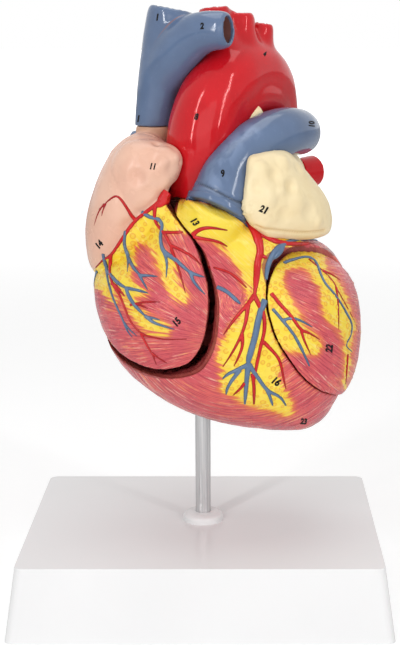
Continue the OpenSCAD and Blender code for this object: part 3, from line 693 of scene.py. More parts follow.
# ---- painted zones
# Outlines of the fat on the front, in the photograph's pixels.
FAT_ON_HEART = [
    [(176, 204), (184.5, 199.5), (209.7, 205.5), (230, 213.5), (243, 222), (250, 231), (256, 240),
     (257, 251), (255, 262), (253, 284), (251, 296), (245.3, 290), (240.9, 275.2), (230.5, 257.3),
     (221.6, 247), (211.2, 239.5), (196, 238), (184, 232), (176, 220)],
    [(250, 291), (245, 308), (229, 329), (222, 343), (217, 358), (222, 370), (220, 386), (226, 394),
     (244, 403), (255, 408), (286, 415), (292, 408), (291, 400), (283, 388), (279, 374), (282, 362),
     (283, 350), (276, 338), (272, 328), (269, 308), (268, 290), (269, 268), (276, 250), (286, 246),
     (300, 244), (300, 238), (276, 236), (268, 232), (260, 230), (256, 240), (256, 262), (252, 280)],
]
FAT_ON_RIGHT = [
    [(158, 200), (170, 205), (178, 218), (186, 230), (176, 231), (166, 233), (161, 240), (164.5, 250),
     (170, 258.5), (178, 278), (185, 292), (186, 303), (178, 301), (170, 292), (162.5, 278), (157, 262),
     (150, 249), (140, 245), (134.7, 252), (133.3, 264), (131, 276), (137, 283), (146, 290), (141.7, 296),
     (134.7, 301), (146, 314), (158.5, 322), (170, 331), (158, 334), (143, 328.5), (131.9, 314.6),
     (123.5, 300.6), (115, 286.6), (112.5, 292), (117, 306), (108, 300.6), (101, 289.4), (92, 286),
     (90, 275), (94, 266), (102, 256), (111, 250), (122, 234), (134, 218), (148, 206)],
]
MUSCLE_ON_LEFT = [
    [(284, 272.2), (292.8, 267.7), (304.7, 269.2), (313.6, 279.6), (321, 291.5), (321, 304.8),
     (327, 319.7), (340.3, 333), (344.8, 350.9), (343.3, 380.5), (334, 392), (319.5, 388),
     (306.2, 375), (295.8, 363), (291, 354.5), (300, 352), (310.6, 355.3), (318, 352.3), (321, 343.4),
     (313.6, 333), (306.2, 327.1), (298.7, 313.7), (289.8, 295.9), (283.9, 284.1)],
    [(325.5, 256), (336, 250), (352, 262), (366, 284), (370, 312), (362, 333), (354.5, 322), (349.2, 305),
     (340.3, 284.1), (328.4, 269.2)],
    [(353.5, 332), (366, 326), (372, 350), (366, 388), (350, 394), (347.5, 380), (351, 360)],
]
ATRIUM_ON_RIGHT = [(170, 190), (163, 199), (157.5, 203), (151.5, 208), (134.5, 221.5), (122.4, 238.5),
                   (110.9, 255.4), (104, 259), (95.8, 267.5), (88, 274), (50, 276), (50, 90), (190, 90),
                   (190, 180)]


def fibres_from(p, at, scale, side):
    """Fibres that fan out from a pixel to one side: along, then across."""
    d = p - np.array(at)
    return np.stack([np.hypot(*d.T), np.arctan2(side * d[:, 1], side * d[:, 0]) * scale, np.zeros(len(p))], 1)


def fibres_round(p, at, scale):
    """Fibres that circle round a pixel: along, then across."""
    d = p - np.array(at)
    return np.stack([np.arctan2(d[:, 0], d[:, 1]) * scale, np.hypot(*d.T), np.zeros(len(p))], 1)


def fibres_slanted(p, degrees):
    """Straight fibres at an angle: along, then across."""
    s, c = math.sin(math.radians(degrees)), math.cos(math.radians(degrees))
    return np.stack([p @ np.array([c, s]), p @ np.array([-s, c]), np.zeros(len(p))], 1)


def beads(o, where, spacing, seed):
    """Small round swellings over part of a piece: each point's distance to the nearest centre, in radii."""
    co = coords(o)
    rng = np.random.default_rng(seed)
    order = rng.permutation(np.nonzero(where)[0])
    kept, sizes = [], []
    grid = {}
    cell = spacing * MM
    for i in order:
        key = tuple((co[i] // cell).astype(int))
        near = [q for dx in (-1, 0, 1) for dy in (-1, 0, 1) for dz in (-1, 0, 1)
                for q in grid.get((key[0] + dx, key[1] + dy, key[2] + dz), ())]
        if all(np.dot(co[i] - co[q], co[i] - co[q]) > cell * cell for q in near):
            grid.setdefault(key, []).append(i)
            kept.append(i)
            sizes.append(rng.uniform(0.7, 1.35) if rng.random() < 0.75 else 0.01)
    out = np.full(len(co), 9.0)
    tree = line_tree(co[kept])
    for i in np.nonzero(where)[0]:
        _, n, d = tree.find(Vector(co[i]))
        out[i] = d / MM / sizes[n]
    return out


LEFT_LOW = [(258, 322), (272, 340), (284, 348), (296, 352), (318, 356), (334, 366), (343, 386), (352, 392),
            (366, 392), (366, 425), (250, 425), (236, 330)]
# The groove above the left lid, which gets a dark band of painted shade.
GROOVE_ON_HEART = [(262, 268), (265, 257), (273, 250.5), (288, 247.5), (310, 247.5), (334, 249), (334, 256),
                   (312, 252), (296, 254), (284, 260), (275, 268), (270, 280), (266, 284)]
AURICLE_FOLD = [(256, 226), (268, 229.5), (285, 231.5), (305, 233), (324, 231)]
PULMONARY_SEAM = [(190, 182), (203, 184.5), (218, 191.5), (232, 199), (243, 203)]
# The path of a painted highlight on the pulmonary trunk.
PULMONARY_SHEEN = [(214, 182), (224, 160), (238, 142), (250, 132)]
ROOT_BAND_TOP = [(189, 190), (199, 190), (213, 193), (229, 200), (244, 212), (250, 222)]
ROOT_BAND_FOOT = [(185.5, 201), (193, 200.5), (210, 204.5), (228, 213), (240, 221), (247.5, 228)]
BEAD_HEIGHT = 0.22
# Dents, and bumps with a minus sign: pixel, then radius and depth in millimetres.
HEART_BUMPS = [(214, 211, 9, -1.3), (232, 217, 8, -1.3), (197, 206, 7, -0.9), (204, 205.5, 4.5, -1.1),
               (221, 210, 4.5, -1.1), (238, 217.5, 4.5, -1.1)]
RIGHT_DENTS = [(137, 178, 5, 1.37), (147, 192, 4, 0.72), (151, 158, 5.5, 1.37), (159, 180, 5, 0.86),
               (128, 169, 6, -0.5), (176, 157, 3.6, -0.86), (180.5, 163, 1.7, 0.79), (167, 150.5, 3.6, -0.86),
               (171, 169, 4.5, 0.94), (163, 162, 4, -0.5), (120, 215, 9, -0.79), (106, 190, 8, 0.43),
               (129, 224, 5, 0.79), (157, 143.5, 3, 0.94), (143, 168, 4, -0.43)]
LEFT_DENTS = [(257, 187, 4.2, 1.6), (275, 176, 4.2, 1.0), (291, 186, 4.6, 1.8), (298, 202, 6, -1.0),
              (270, 199, 5.5, -1.0), (262, 168, 5, -1.1), (284, 216, 5, 0.9), (309, 212, 5, 1.0),
              (266, 223, 4.5, -0.8), (284, 161, 5, -1.0), (319, 222, 4, -0.8), (298, 168, 4, 0.8),
              (251, 205, 3, 0.7), (281, 192, 3.5, -0.6)]


# ---- modelling in the clay
def press(o, tree, dents):
    """Soft dents, or bumps where the depth is negative: pixel, radius and depth in millimetres."""
    co, no = coords(o), normals(o)
    move = np.zeros(len(co))
    for px, py, radius, depth in dents:
        hit = tree.ray_cast(CAM_AT, px_way(px, py))
        if hit[0] is None:
            continue
        d = np.linalg.norm(co - np.array(hit[0]), axis=1) / MM / radius
        w = np.where(d < 1, (1 - np.clip(d, 0, 1) ** 2) ** 2, 0)
        move -= depth * w * (no @ np.array(hit[1]) > 0.1)
    set_coords(o, co + no * (move * MM)[:, None])


def line_tree(points):
    tree = KDTree(len(points))
    for i, p in enumerate(points):
        tree.insert(Vector(p), i)
    tree.balance()
    return tree


def near_line(o, tree, path, width):
    """How close each point is to a path on the surface: 1 on it, 0 at its edge."""
    line = line_tree(landed(tree, open_spline(path, 8), False)[0])
    return np.array([max(0.0, 1 - line.find(Vector(p))[2] / MM / width) for p in coords(o)])


# ---- raised vessels
# Each row is a path in the photograph's pixels, then the width in pixels at its start and at its end.
RIGHT_LID_RED = [
    ([(170, 193), (165, 197), (157.5, 203), (151.5, 208), (134.5, 221.5), (122.4, 238.5),
      (110.9, 255.4), (104, 259), (95.8, 267.5)], 4.4, 2.6),
    ([(156, 204), (154.5, 211.8), (155.7, 222.7), (163.6, 232.4), (169.7, 243.3), (172.1, 250.6)], 3.6, 3.2),
    ([(170.5, 245), (176.9, 248), (186.6, 253), (195, 259), (201, 265)], 3.4, 1.8),
    ([(163.6, 232.4), (174.5, 232.4), (183, 232)], 3.2, 2.4),
    ([(171, 248), (176.9, 263.9), (180.6, 274.8), (185.4, 293)], 3.0, 1.3),
    ([(110.9, 255.4), (109.7, 267.5), (111.5, 282), (120, 295.4), (126, 311), (130.9, 322),
      (140.6, 333), (151.5, 337), (168, 339.5), (186.6, 339)], 3.4, 1.6),
    ([(140.6, 333), (149, 348.7), (152.7, 354.8), (156.3, 364.5)], 2.8, 1.6),
    ([(152, 353), (160, 359), (167.2, 363.3)], 2.4, 1.2),
    ([(111.5, 283), (118, 288), (124.5, 296)], 3.4, 2.0),
    ([(130, 305), (145, 302), (160, 302)], 2.4, 1.3),
    ([(132, 304), (140, 305), (147.9, 308.7)], 2.4, 1.2),
    ([(136, 221), (131, 215), (128.5, 210.6), (121.2, 199.7), (115, 196), (105.4, 203.3), (92, 215.4)],
     3.6, 1.0),
    ([(104, 204), (98, 213), (93.9, 226.4)], 1.8, 0.8),
    ([(106, 203.5), (103, 210), (101.6, 216)], 1.8, 0.9),
]
RIGHT_LID_BLUE = [
    ([(141.8, 212), (150.3, 217.4), (157.5, 219), (162.4, 225), (160.6, 234.8), (161.2, 244.5),
      (164.2, 251.8), (174.5, 259), (184.2, 267.5), (191.5, 273.6)], 3.6, 4.2),
    ([(189, 272), (197, 275), (204.8, 277.2)], 3.4, 1.6),
    ([(190, 271), (192.7, 279.7), (198, 287), (204.8, 294.2)], 3.6, 1.6),
    ([(163, 250), (166, 258), (167, 267), (166, 278)], 3.4, 1.2),
    ([(125.6, 231), (124.2, 242), (126.7, 253), (133.3, 267.5), (140.6, 275.5)], 3.0, 3.6),
    ([(140.6, 275.5), (149, 275.5), (157.5, 276.6)], 3.2, 1.3),
    ([(139, 274), (143, 282), (147.9, 290)], 3.0, 1.2),
    ([(126.5, 252), (128, 262), (127.3, 272)], 2.6, 1.0),
    ([(103, 254), (106, 267.5), (111.5, 276), (118, 283), (126, 288)], 3.0, 3.6),
    ([(126, 288), (136.9, 290), (147.9, 293)], 3.4, 1.8),
    ([(126, 288), (128.5, 295.4), (134.5, 305), (145.4, 316)], 3.6, 3.4),
    ([(145.4, 316), (152.7, 322), (163, 326), (174.5, 329.3)], 3.4, 1.4),
    ([(147, 317), (153, 318), (160, 320)], 2.4, 1.4),
    ([(106, 268), (109, 284.5), (115, 302.7), (122.4, 318.4), (127.3, 330.6), (132, 337)], 3.0, 2.0),
    ([(124, 322), (130, 330), (137, 336)], 2.2, 1.2),
    ([(97, 271), (94.5, 279), (94, 288)], 3.2, 1.4),
]
HEART_RED = [
    ([(246, 219), (252, 226), (257.5, 238.4), (260.9, 250)], 12.5, 8.0),
    ([(249, 220), (259, 226.5), (271, 236)], 8.0, 4.4),
    ([(259, 240), (260.5, 251.6), (258, 260.4), (256.5, 278), (254.3, 297)], 8.6, 5.0),
    ([(254.3, 295), (247.7, 304.4), (234.5, 319), (223.5, 335)], 4.6, 1.6),
    ([(248.5, 303), (246, 320), (241.9, 333.8), (233, 351.4), (222.8, 366.8)], 4.0, 1.6),
    ([(242, 334), (242.6, 345), (239, 356), (234, 366)], 3.4, 1.5),
    ([(254.3, 295), (259.5, 306), (263.9, 314.7), (264.4, 330.8), (260.9, 345.5), (256.5, 366),
      (253.4, 385), (253.6, 404)], 4.4, 2.4),
    ([(263.6, 342), (275.6, 354.3), (280.5, 363), (283.7, 379), (286, 389)], 3.6, 1.5),
    ([(252, 374), (254, 385), (254, 404)], 3.0, 3.2),
    ([(245, 383), (240, 389), (233, 395.4)], 3.2, 1.6),
    ([(250, 223), (257, 230.5), (265, 236), (275, 241), (290, 243.8), (306, 243.4), (322, 243.4),
      (337, 246)], 9.0, 2.6),
    ([(192, 235.5), (199.3, 229.6), (211, 227.6), (227.2, 230.3)], 4.4, 2.2),
    ([(190, 236), (198, 238), (211, 239.9), (220, 242.5), (227.2, 246.5)], 4.0, 1.8),
    ([(209, 267), (219, 269), (230, 273), (239, 280), (246.3, 287.5)], 2.2, 2.6),
    ([(258, 252), (263, 256), (267, 258)], 4.0, 3.0),
]
HEART_BLUE = [
    ([(338, 256), (335, 250), (325.5, 243.4), (309.4, 239.4), (294.7, 239.9), (283, 244.3),
      (275.6, 250), (269.8, 260.4), (266.8, 272), (266, 289.7), (265.3, 303)], 3.2, 6.4),
    ([(283, 245), (280, 252), (272, 259)], 5.0, 5.6),
    ([(265.3, 300), (259.5, 314.7), (255, 336.7), (249.2, 357.2), (247.5, 366)], 6.4, 5.4),
    ([(249, 364), (236, 370.4), (228, 374), (222.5, 379)], 4.4, 2.0),
    ([(240, 370), (228.7, 385), (226, 394.5)], 3.8, 2.2),
    ([(248, 366), (246.3, 385), (244.8, 404)], 5.0, 3.2),
    ([(249.5, 364), (252, 369), (260.9, 382), (268.3, 391), (280, 396.8), (285.9, 405.6)], 4.4, 2.6),
    ([(267, 390), (270, 397), (272.7, 405.6)], 3.4, 2.2),
    ([(217, 287), (226, 291), (233, 297), (240, 303.5)], 3.6, 3.6),
]
LEFT_LID_BLUE = [
    ([(284, 263), (290, 260.5), (305, 256.7), (313, 259), (317.5, 265), (320.4, 273.6), (325.5, 283.9),
      (335.8, 295.6), (347.5, 314.7), (351.9, 325), (350.5, 336), (346, 345.5), (351.9, 351.4)], 3.4, 2.2),
    ([(272.7, 309), (283, 321), (296.2, 338.2), (309.4, 366)], 2.8, 3.0),
    ([(283, 320.5), (294.7, 318), (312.3, 327)], 3.2, 1.6),
]
LEFT_LID_RED = [
    ([(309, 259), (314, 263.5), (322.6, 270.7), (332.8, 280.9), (338.7, 292.7), (350.4, 313.2),
      (359, 332.3)], 1.8, 1.6),
    ([(322.6, 270.7), (331, 274), (340.2, 280.2)], 3.4, 1.6),
    ([(336, 287), (338.2, 305), (338.7, 329.4)], 3.2, 1.4),
    ([(271.2, 293.5), (281.5, 305.9), (291.8, 317), (300.6, 329.4), (309, 333), (319.6, 339.6)], 4.2, 1.8),
    ([(300.6, 328), (304, 340), (311, 355)], 3.0, 1.2),
    ([(347.8, 354.3), (346.8, 369), (345.6, 384)], 2.6, 2.4),
]
RIGHT_ROOT = [
    ([(170, 190), (168, 196), (166, 202)], 9.0, 8.5), ([(167, 192), (162.5, 198), (159.5, 204)], 9.5, 8.0),
    ([(166, 200), (161, 204), (156, 206)], 7.5, 4.5),
]
# On the back, paths are (x, z) in the heart's frame, and widths are still pixels.
BACK_BLUE = [
    ([(64, 62), (52, 72), (40, 76), (26, 75), (10, 72), (-6, 68), (-18, 66)], 6.0, 9.0),
    ([(-16, 66), (-9, 52), (-1, 36), (8, 22), (17, 11)], 6.6, 2.4),
    ([(30, 75), (31, 60), (35, 44), (42, 30)], 5.4, 1.8),
    ([(52, 71), (54, 58), (58, 46)], 4.0, 1.6),
    ([(-18, 66), (-28, 60), (-38, 58)], 5.0, 3.0),
    ([(4, 29), (15, 24), (24, 15)], 3.4, 1.4),
]
BACK_RED = [
    ([(-44, 60), (-34, 64), (-24, 69), (-12, 72.5)], 5.2, 5.4),
    ([(-13, 72), (-4, 58), (5, 41), (14, 26), (24, 12)], 5.6, 1.8),
    ([(1, 48), (-7, 38), (-11, 26)], 3.4, 1.3),
    ([(10, 33), (21, 31), (31, 23)], 3.2, 1.3),
    ([(-12, 72.5), (2, 77), (13, 70), (20, 56), (27, 42), (30, 30)], 4.4, 1.4),
    ([(66, 66), (56, 78), (42, 82), (32, 70)], 4.4, 2.2),
    ([(-34, 64), (-30, 52), (-22, 41)], 3.4, 1.4),
    ([(48, 80), (45, 66), (48, 50), (50, 38)], 3.6, 1.3),
]
PX_MM = 0.452               # one pixel of the photograph at the heart
FAR_BEHIND = 200
JUMP = 7                    # a path that jumps this far has met another surface


def landed(tree, path, from_behind):
    """The places and normals where a path meets a surface."""
    runs = [[]]
    for a, b in path:
        if from_behind:
            hit = tree.ray_cast(Vector((a, FAR_BEHIND, b + HEART_Z)) * MM, Vector((0, -1, 0)))
        else:
            hit = tree.ray_cast(CAM_AT, px_way(a, b))
        if hit[0] is None:
            continue
        if runs[-1] and (hit[0] - runs[-1][-1][0]).length > JUMP * MM:
            runs.append([])
        runs[-1].append(hit)
    longest = max(runs, key=len)
    return np.array([h[0] for h in longest]), np.array([h[1] for h in longest])


def eased(rows, rounds):
    """Rows of numbers drawn towards their neighbours."""
    for _ in range(rounds):
        rows = np.vstack([rows[:1], (rows[:-2] + 2 * rows[1:-1] + rows[2:]) / 4, rows[-1:]])
    return rows


def raised(tree, row, seed, from_behind=False, sink=0.22, sides=14):
    """A vessel that lies half sunk in the surface and tapers towards its end."""
    points, w0, w1 = row
    path = open_spline(points, 10 if from_behind else 7)
    at, no = landed(tree, path, from_behind)
    if len(at) < 4:
        return None
    at, no = eased(at, 6) / MM, eased(no, 12)
    m = len(at)
    loops = []
    for i in range(m):
        way = unit(at[min(i + 1, m - 1)] - at[max(i - 1, 0)])
        up = unit(no[i] - no[i].dot(way) * way)
        side = np.cross(way, up)
        t = i / (m - 1)
        r = (w0 + (w1 - w0) * t + 0.5) * PX_MM / 2
        r *= 1 + 0.09 * noise.noise(Vector((i * 0.13, seed * 3.1, 0)))
        r *= min(1, 0.55 + 1.8 * (1 - t))
        c = at[i] - up * r * sink
        a = np.arange(sides) * 2 * math.pi / sides
        loops.append(c + r * (np.cos(a)[:, None] * up * 0.92 - np.sin(a)[:, None] * side))
    tips = [loops[0].mean(0) - unit(at[1] - at[0]) * 0.3, loops[-1].mean(0) + unit(at[-1] - at[-2]) * 0.5]
    return skin(loops, tips)


def vessels(name, tree, rows, voxel=0.2, behind=()):
    """One casting of raised vessels, fused where they branch."""
    forms = [raised(tree, row, i) for i, row in enumerate(rows)]
    forms += [raised(tree, row, i + 50, True) for i, row in enumerate(behind)]
    return remesh(to_object(name, merged(filter(None, forms)), 0), voxel, 3)


# ---- index numbers
# Text, pixel, cap height in pixels, turn in degrees, and what it is printed on.
NUMBERS = [
    ("1", (157, 17.6), 6.4, 0, "cava"), ("1", (138, 119), 6.5, 0, "cava"),
    ("2", (201.8, 26.3), 6.2, 4, "cava"),
    ("8", (196, 117), 6.4, -4, "aorta"), ("4", (264.5, 54), 4.6, -10, "aorta"),
    ("9", (222.5, 173.7), 6.6, 14, "pulmonary"), ("10", (312, 124.6), 5.6, 92, "pulmonary"),
    ("11", (152.4, 166.7), 6, -5, "right_lid"), ("14", (99, 245), 6.4, 48, "right_lid"),
    ("12", (157, 205.3), 5, 0, "right_lid"), ("7", (95.5, 193), 6, 70, "right_lid"),
    ("13", (194.5, 221.7), 6.6, -52, "body"), ("15", (176.6, 322.7), 7, 50, "right_lid"),
    ("16", (275.5, 381.5), 7.4, -33, "body"), ("17", (256, 235.7), 5.5, -68, "body"),
    ("21", (263.4, 209.7), 7, -22, "auricle"), ("22", (329.5, 348.7), 6.8, 84, "left_lid"),
    ("23", (303.5, 421.6), 5.6, -4, "body"),
]
# On the back, places are (x, z) in the heart's frame.
BACK_NUMBERS = [
    ("18", (-22, 50), 7.5, 0, "body"), ("24", (34, 22), 7.5, 0, "body"), ("19", (48, 96), 7, 0, "atrium"),
    ("20", (-8, 92), 7, 0, "atrium"),
]


def printed(name, text, at, cap, turn, tree, from_behind=False):
    """Thin printed figures that follow the surface under them."""
    curve = bpy.data.curves.new(name, "FONT")
    curve.body = text
    curve.align_x = "CENTER"
    curve.align_y = "CENTER"
    curve.shear = 0.18
    curve.offset = 0.05
    curve.resolution_u = 3
    flat = bpy.data.objects.new(name, curve)
    scene.collection.objects.link(flat)
    deps = bpy.context.evaluated_depsgraph_get()
    mesh = bpy.data.meshes.new_from_object(flat.evaluated_get(deps))
    bpy.data.objects.remove(flat)
    bpy.data.curves.remove(curve)
    bm = bmesh.new()
    bm.from_mesh(mesh)
    bmesh.ops.remove_doubles(bm, verts=bm.verts, dist=1e-4)
    bmesh.ops.triangulate(bm, faces=bm.faces)
    for _ in range(2):
        long_edges = [e for e in bm.edges if e.calc_length() > 0.12]
        bmesh.ops.subdivide_edges(bm, edges=long_edges, cuts=1)
        bmesh.ops.triangulate(bm, faces=bm.faces)
    s, c = math.sin(math.radians(turn)), math.cos(math.radians(turn))
    scale = cap / 0.73 * (PX_MM if from_behind else 1)
    for v in bm.verts:
        x, y = v.co.x * scale * 0.84, v.co.y * scale
        a, b = x * c - y * s, x * s + y * c
        if from_behind:
            hit = tree.ray_cast(Vector((at[0] - a, FAR_BEHIND, at[1] + b + HEART_Z)) * MM, Vector((0, -1, 0)))
        else:
            hit = tree.ray_cast(CAM_AT, px_way(at[0] + a, at[1] - b))
        if hit[0] is None:
            bm.free()
            return None
        v.co = hit[0] + hit[1] * 0.07 * MM
    bmesh.ops.recalc_face_normals(bm, faces=bm.faces)
    bm.to_mesh(mesh)
    bm.free()
    o = bpy.data.objects.new(name, mesh)
    scene.collection.objects.link(o)
    mod = o.modifiers.new("t", "SOLIDIFY")
    mod.thickness = 0.25 * MM
    mod.offset = -1 if sum(p.normal.y for p in mesh.polygons) < 0 or from_behind else 1
    apply_all(o)
    return o


# ---- materials
class Wire:
    """A number or a colour on its way through a node tree."""

    def __init__(self, graph, socket):
        self.graph, self.socket = graph, socket

    def __add__(self, other):
        return self.graph.maths("ADD", self, other)

    def __sub__(self, other):
        return self.graph.maths("SUBTRACT", self, other)

    def __mul__(self, other):
        return self.graph.maths("MULTIPLY", self, other)


class Graph:
    """The node tree of a material or a world, with short ways to add to it."""

    def __init__(self, owner):
        owner.use_nodes = True
        self.tree = owner.node_tree

    def join(self, socket, value):
        if isinstance(value, Wire):
            self.tree.links.new(value.socket, socket)
        else:
            socket.default_value = value

    def add(self, kind, inputs=(), output=0, **settings):
        n = self.tree.nodes.new("ShaderNode" + kind)
        for k, v in settings.items():
            setattr(n, k, v)
        for k, v in dict(inputs).items():
            self.join(n.inputs[k], v)
        return Wire(self, n.outputs[output])

    def maths(self, op, a, b):
        return self.add("Math", {0: a, 1: b}, operation=op)

    def field(self, name, output="Fac"):
        return self.add("Attribute", output=output, attribute_name=name)

    def step(self, value, low, high, to_low=0.0, to_high=1.0):
        return self.add("MapRange", {0: value, 1: low, 2: high, 3: to_low, 4: to_high},
                        interpolation_type="SMOOTHSTEP")

    def mix(self, part, a, b):
        a, b = [v if isinstance(v, Wire) else (*v, 1) for v in (a, b)]
        return self.add("Mix", {0: part, 6: a, 7: b}, 2, data_type="RGBA")

    def stretched(self, vector, x, y, z):
        return self.add("Mapping", {"Vector": vector, "Scale": (x, y, z)})

    def grain(self, vector, scale=1.0, detail=2.0, rough=0.5):
        return self.add("TexNoise", {"Vector": vector, "Scale": scale, "Detail": detail, "Roughness": rough})


class Paint(Graph):
    """A material made of procedural nodes."""

    def __init__(self, name):
        self.material = bpy.data.materials.new(name)
        super().__init__(self.material)
        self.shader = self.tree.nodes["Principled BSDF"]
        self.at = self.add("TexCoord", output="Object")

    def finish(self, colour, rough, bump=None, strength=0.3, distance=0.0003, shine=0.35, tint=(1, 1, 1)):
        sockets = self.shader.inputs
        self.join(sockets["Base Color"], colour)
        self.join(sockets["Roughness"], rough)
        if bump is not None:
            normal = self.add("Bump", {"Height": bump, "Strength": strength, "Distance": distance})
            self.join(sockets["Normal"], normal)
        sockets["Specular IOR Level"].default_value = shine
        sockets["Specular Tint"].default_value = (*tint, 1)
        return self.material


def lighter(colour, times, more):
    return tuple(min(1, c * times + more) for c in colour)


def darker(colour, times):
    return tuple(c * times for c in colour)


# Fibre noise: how closely it lies along and across the fibres, its scale and its roughness.
FIBRE_NOISES = ((0.040, 0.26, 1, 0.5), (0.034, 0.80, 1, 0.6), (0.036, 0.62, 1.3, 0.6))
PINK = ((0.81, 0.48, 0.355), (0.85, 0.535, 0.40))


def cast_paint():
    """Painted muscle, fat and atrium, and the dark cut faces and chambers behind them."""
    g = Paint("painted_casting")
    noises = []
    for name in ("fibre", "fibre_b"):
        v = g.field(name, "Vector")
        noises.append([g.grain(g.stretched(v, along, across, along), scale, 2, rough)
                       for along, across, scale, rough in FIBRE_NOISES])
    swap = g.field("swap")
    wide, fine, third = [g.add("Mix", {0: swap, 2: a, 3: b}, data_type="FLOAT") for a, b in zip(*noises)]
    blotch, patch, specks = g.grain(g.at, 70, 3), g.grain(g.at, 160, 2), g.grain(g.at, 420, 2)
    feather = (wide - 0.5) * 22 + (fine - 0.5) * 18
    edge = g.field("fat") + feather * g.field("soft")
    is_fat = g.step(edge, -1.3, 1.3)
    near_fat = g.step(edge, -6.5, 0.5)

    muscle = g.mix(g.step(blotch, 0.35, 0.65), (0.66, 0.095, 0.120), (0.78, 0.135, 0.125))
    muscle = g.mix(g.step(third, 0.50, 0.40) * 0.7, muscle, (0.44, 0.040, 0.070))
    pale = g.step(fine, 0.58, 0.64) * g.step(patch, 0.36, 0.56)
    muscle = g.mix(pale * 0.8, muscle, (0.92, 0.46, 0.36))
    gold = g.step(third, 0.60, 0.68) * g.step(blotch, 0.46, 0.56)
    muscle = g.mix(gold * 0.7, muscle, (0.90, 0.42, 0.16))
    muscle = g.mix(near_fat * 0.7, muscle, (0.86, 0.24, 0.05))

    yellow = g.mix(g.step(patch, 0.3, 0.75), (0.945, 0.70, 0.050), (0.955, 0.735, 0.085))
    yellow = g.mix(g.step(edge, 7, 0.5) * 0.5, yellow, (0.91, 0.50, 0.05))
    streaks = g.step(third, 0.54, 0.64) * g.step(edge, 16, 4)
    yellow = g.mix(streaks * 0.45, yellow, (0.93, 0.80, 0.30))
    bead = g.field("bead")
    ring = g.step(bead, 0.55, 0.85) * g.step(bead, 1.25, 0.95)
    yellow = g.mix(g.step(bead, 1.1, 0.8) * 0.42, yellow, (0.88, 0.47, 0.035))
    yellow = g.mix(ring * 0.55, yellow, (0.80, 0.30, 0.025))
    outer = g.mix(is_fat, muscle, yellow)

    # A dark band in the cut walls' colour beside the right opening's lower lip and in the groove above the
    # left lid: the opening's dark wall, with painted shade of the gap.
    rim = g.step(g.field("rim") + wide * 0.5, 0.75, 1.15)
    outer = g.mix(rim * 0.8, outer, (0.30, 0.055, 0.05))
    atrium_part = g.field("atrium")
    pink = g.mix(g.step(blotch, 0.35, 0.7), *PINK)
    pink = g.mix(g.step(patch, 0.62, 0.8) * 0.25, pink, (0.88, 0.50, 0.38))
    outer = g.mix(atrium_part, outer, pink)

    cut_face = g.mix(g.step(blotch, 0.35, 0.65), (0.34, 0.062, 0.055), (0.46, 0.095, 0.075))
    cut_face = g.mix(g.step(patch, 0.50, 0.66) * 0.35, cut_face, (0.52, 0.18, 0.12))
    deep = g.mix(g.step(blotch, 0.4, 0.6), (0.24, 0.030, 0.032), (0.34, 0.052, 0.050))
    colour = g.mix(g.field("inner"), outer, g.mix(g.field("cave"), cut_face, deep))

    height = (fine * 0.6 + third * 0.4) * g.step(edge, 10, -2, 0.12, 1) * g.step(atrium_part, 1, 0.2, 0.02, 1)
    return g.finish(colour, g.step(patch, 0.3, 0.7, 0.20, 0.30), height + specks * 0.06, 0.9, 0.0007, 0.35)


def gloss_paint(name, low, high, inside, rough, shine, tint=(1, 1, 1)):
    """Glossy paint with a little unevenness, a painted highlight in a rougher patch where a piece asks for
    one, and a matt colour in the cut ends.
    """
    g = Paint(name)
    blotch, specks = g.grain(g.at, 55, 3), g.grain(g.at, 700, 2)
    brush = g.grain(g.stretched(g.at, 1, 1, 0.3), 240, 2)
    scuff = g.field("scuff")
    colour = g.mix(g.step(blotch, 0.3, 0.7), low, high)
    colour = g.mix(g.step(specks, 0.66, 0.74) * 0.12, colour, lighter(high, 1.5, 0.05))
    # Painted highlight: a lighter, brush-streaked colour where the field is set, with a rougher finish there
    # too.
    colour = g.mix(scuff * g.step(brush, 0.40, 0.62, 0.3, 1.6), colour, lighter(high, 1.5, 0.10))
    # The edge field darkens a dark seam line, and it paints shade at the foot of a raised band.
    colour = g.mix(g.field("edge"), colour, darker(low, 0.35))
    recess = g.mix(g.step(blotch, 0.4, 0.6), inside, darker(inside, 0.75))
    colour = g.mix(g.field("inner"), colour, recess)
    return g.finish(colour, g.step(brush + scuff, 0.35, 0.9, *rough), blotch + brush * 0.12, 0.25, 0.0005,
                    shine, tint)


def matt_paint(name, low, high, cloud_and_fold_shade, inside, rough=(0.36, 0.5)):
    """Satin paint with faint clouds, and painted shade along folds."""
    g = Paint(name)
    blotch, patch, specks = g.grain(g.at, 60, 3), g.grain(g.at, 190, 3), g.grain(g.at, 520, 2)
    colour = g.mix(g.step(blotch, 0.3, 0.7), low, high)
    colour = g.mix(g.step(patch, 0.58, 0.78) * 0.25, colour, cloud_and_fold_shade)
    # Painted shade along a fold, in the darker fold colour.
    colour = g.mix(g.field("fold"), colour, cloud_and_fold_shade)
    colour = g.mix(g.field("foot"), colour, (0.66, 0.40, 0.27))
    recess = g.mix(g.step(blotch, 0.4, 0.6), inside, darker(inside, 0.7))
    colour = g.mix(g.field("inner"), colour, recess)
    return g.finish(colour, g.step(patch, 0.3, 0.7, *rough), patch * 0.8 + specks * 0.12, 0.3, 0.0005, 0.3)


def vessel_paint(name, low, high):
    """Gloss paint with painted shade where a raised vessel meets the muscle."""
    g = Paint(name)
    blotch, specks = g.grain(g.at, 160, 3), g.grain(g.at, 650, 2)
    colour = g.mix(g.step(blotch, 0.3, 0.7), low, high)
    colour = g.mix(g.step(specks, 0.6, 0.72) * 0.2, colour, lighter(high, 1.35, 0.03))
    # Painted shade along the foot of each vessel, from the edge field.
    colour = g.mix(g.field("edge") * 0.7, colour, darker(low, 0.3))
    return g.finish(colour, g.step(blotch, 0.3, 0.7, 0.14, 0.24), blotch + specks * 0.3, 0.35, 0.0004, 0.3)


def plastic(name, low, high, rough=(0.18, 0.26), fine=900, strength=0.08):
    g = Paint(name)
    cloud = g.grain(g.at, 14, 3)
    colour = g.mix(g.step(cloud, 0.3, 0.7), low, high)
    return g.finish(colour, g.step(cloud, 0.35, 0.65, *rough), g.grain(g.at, fine, 2), strength, 0.0001, 0.5)


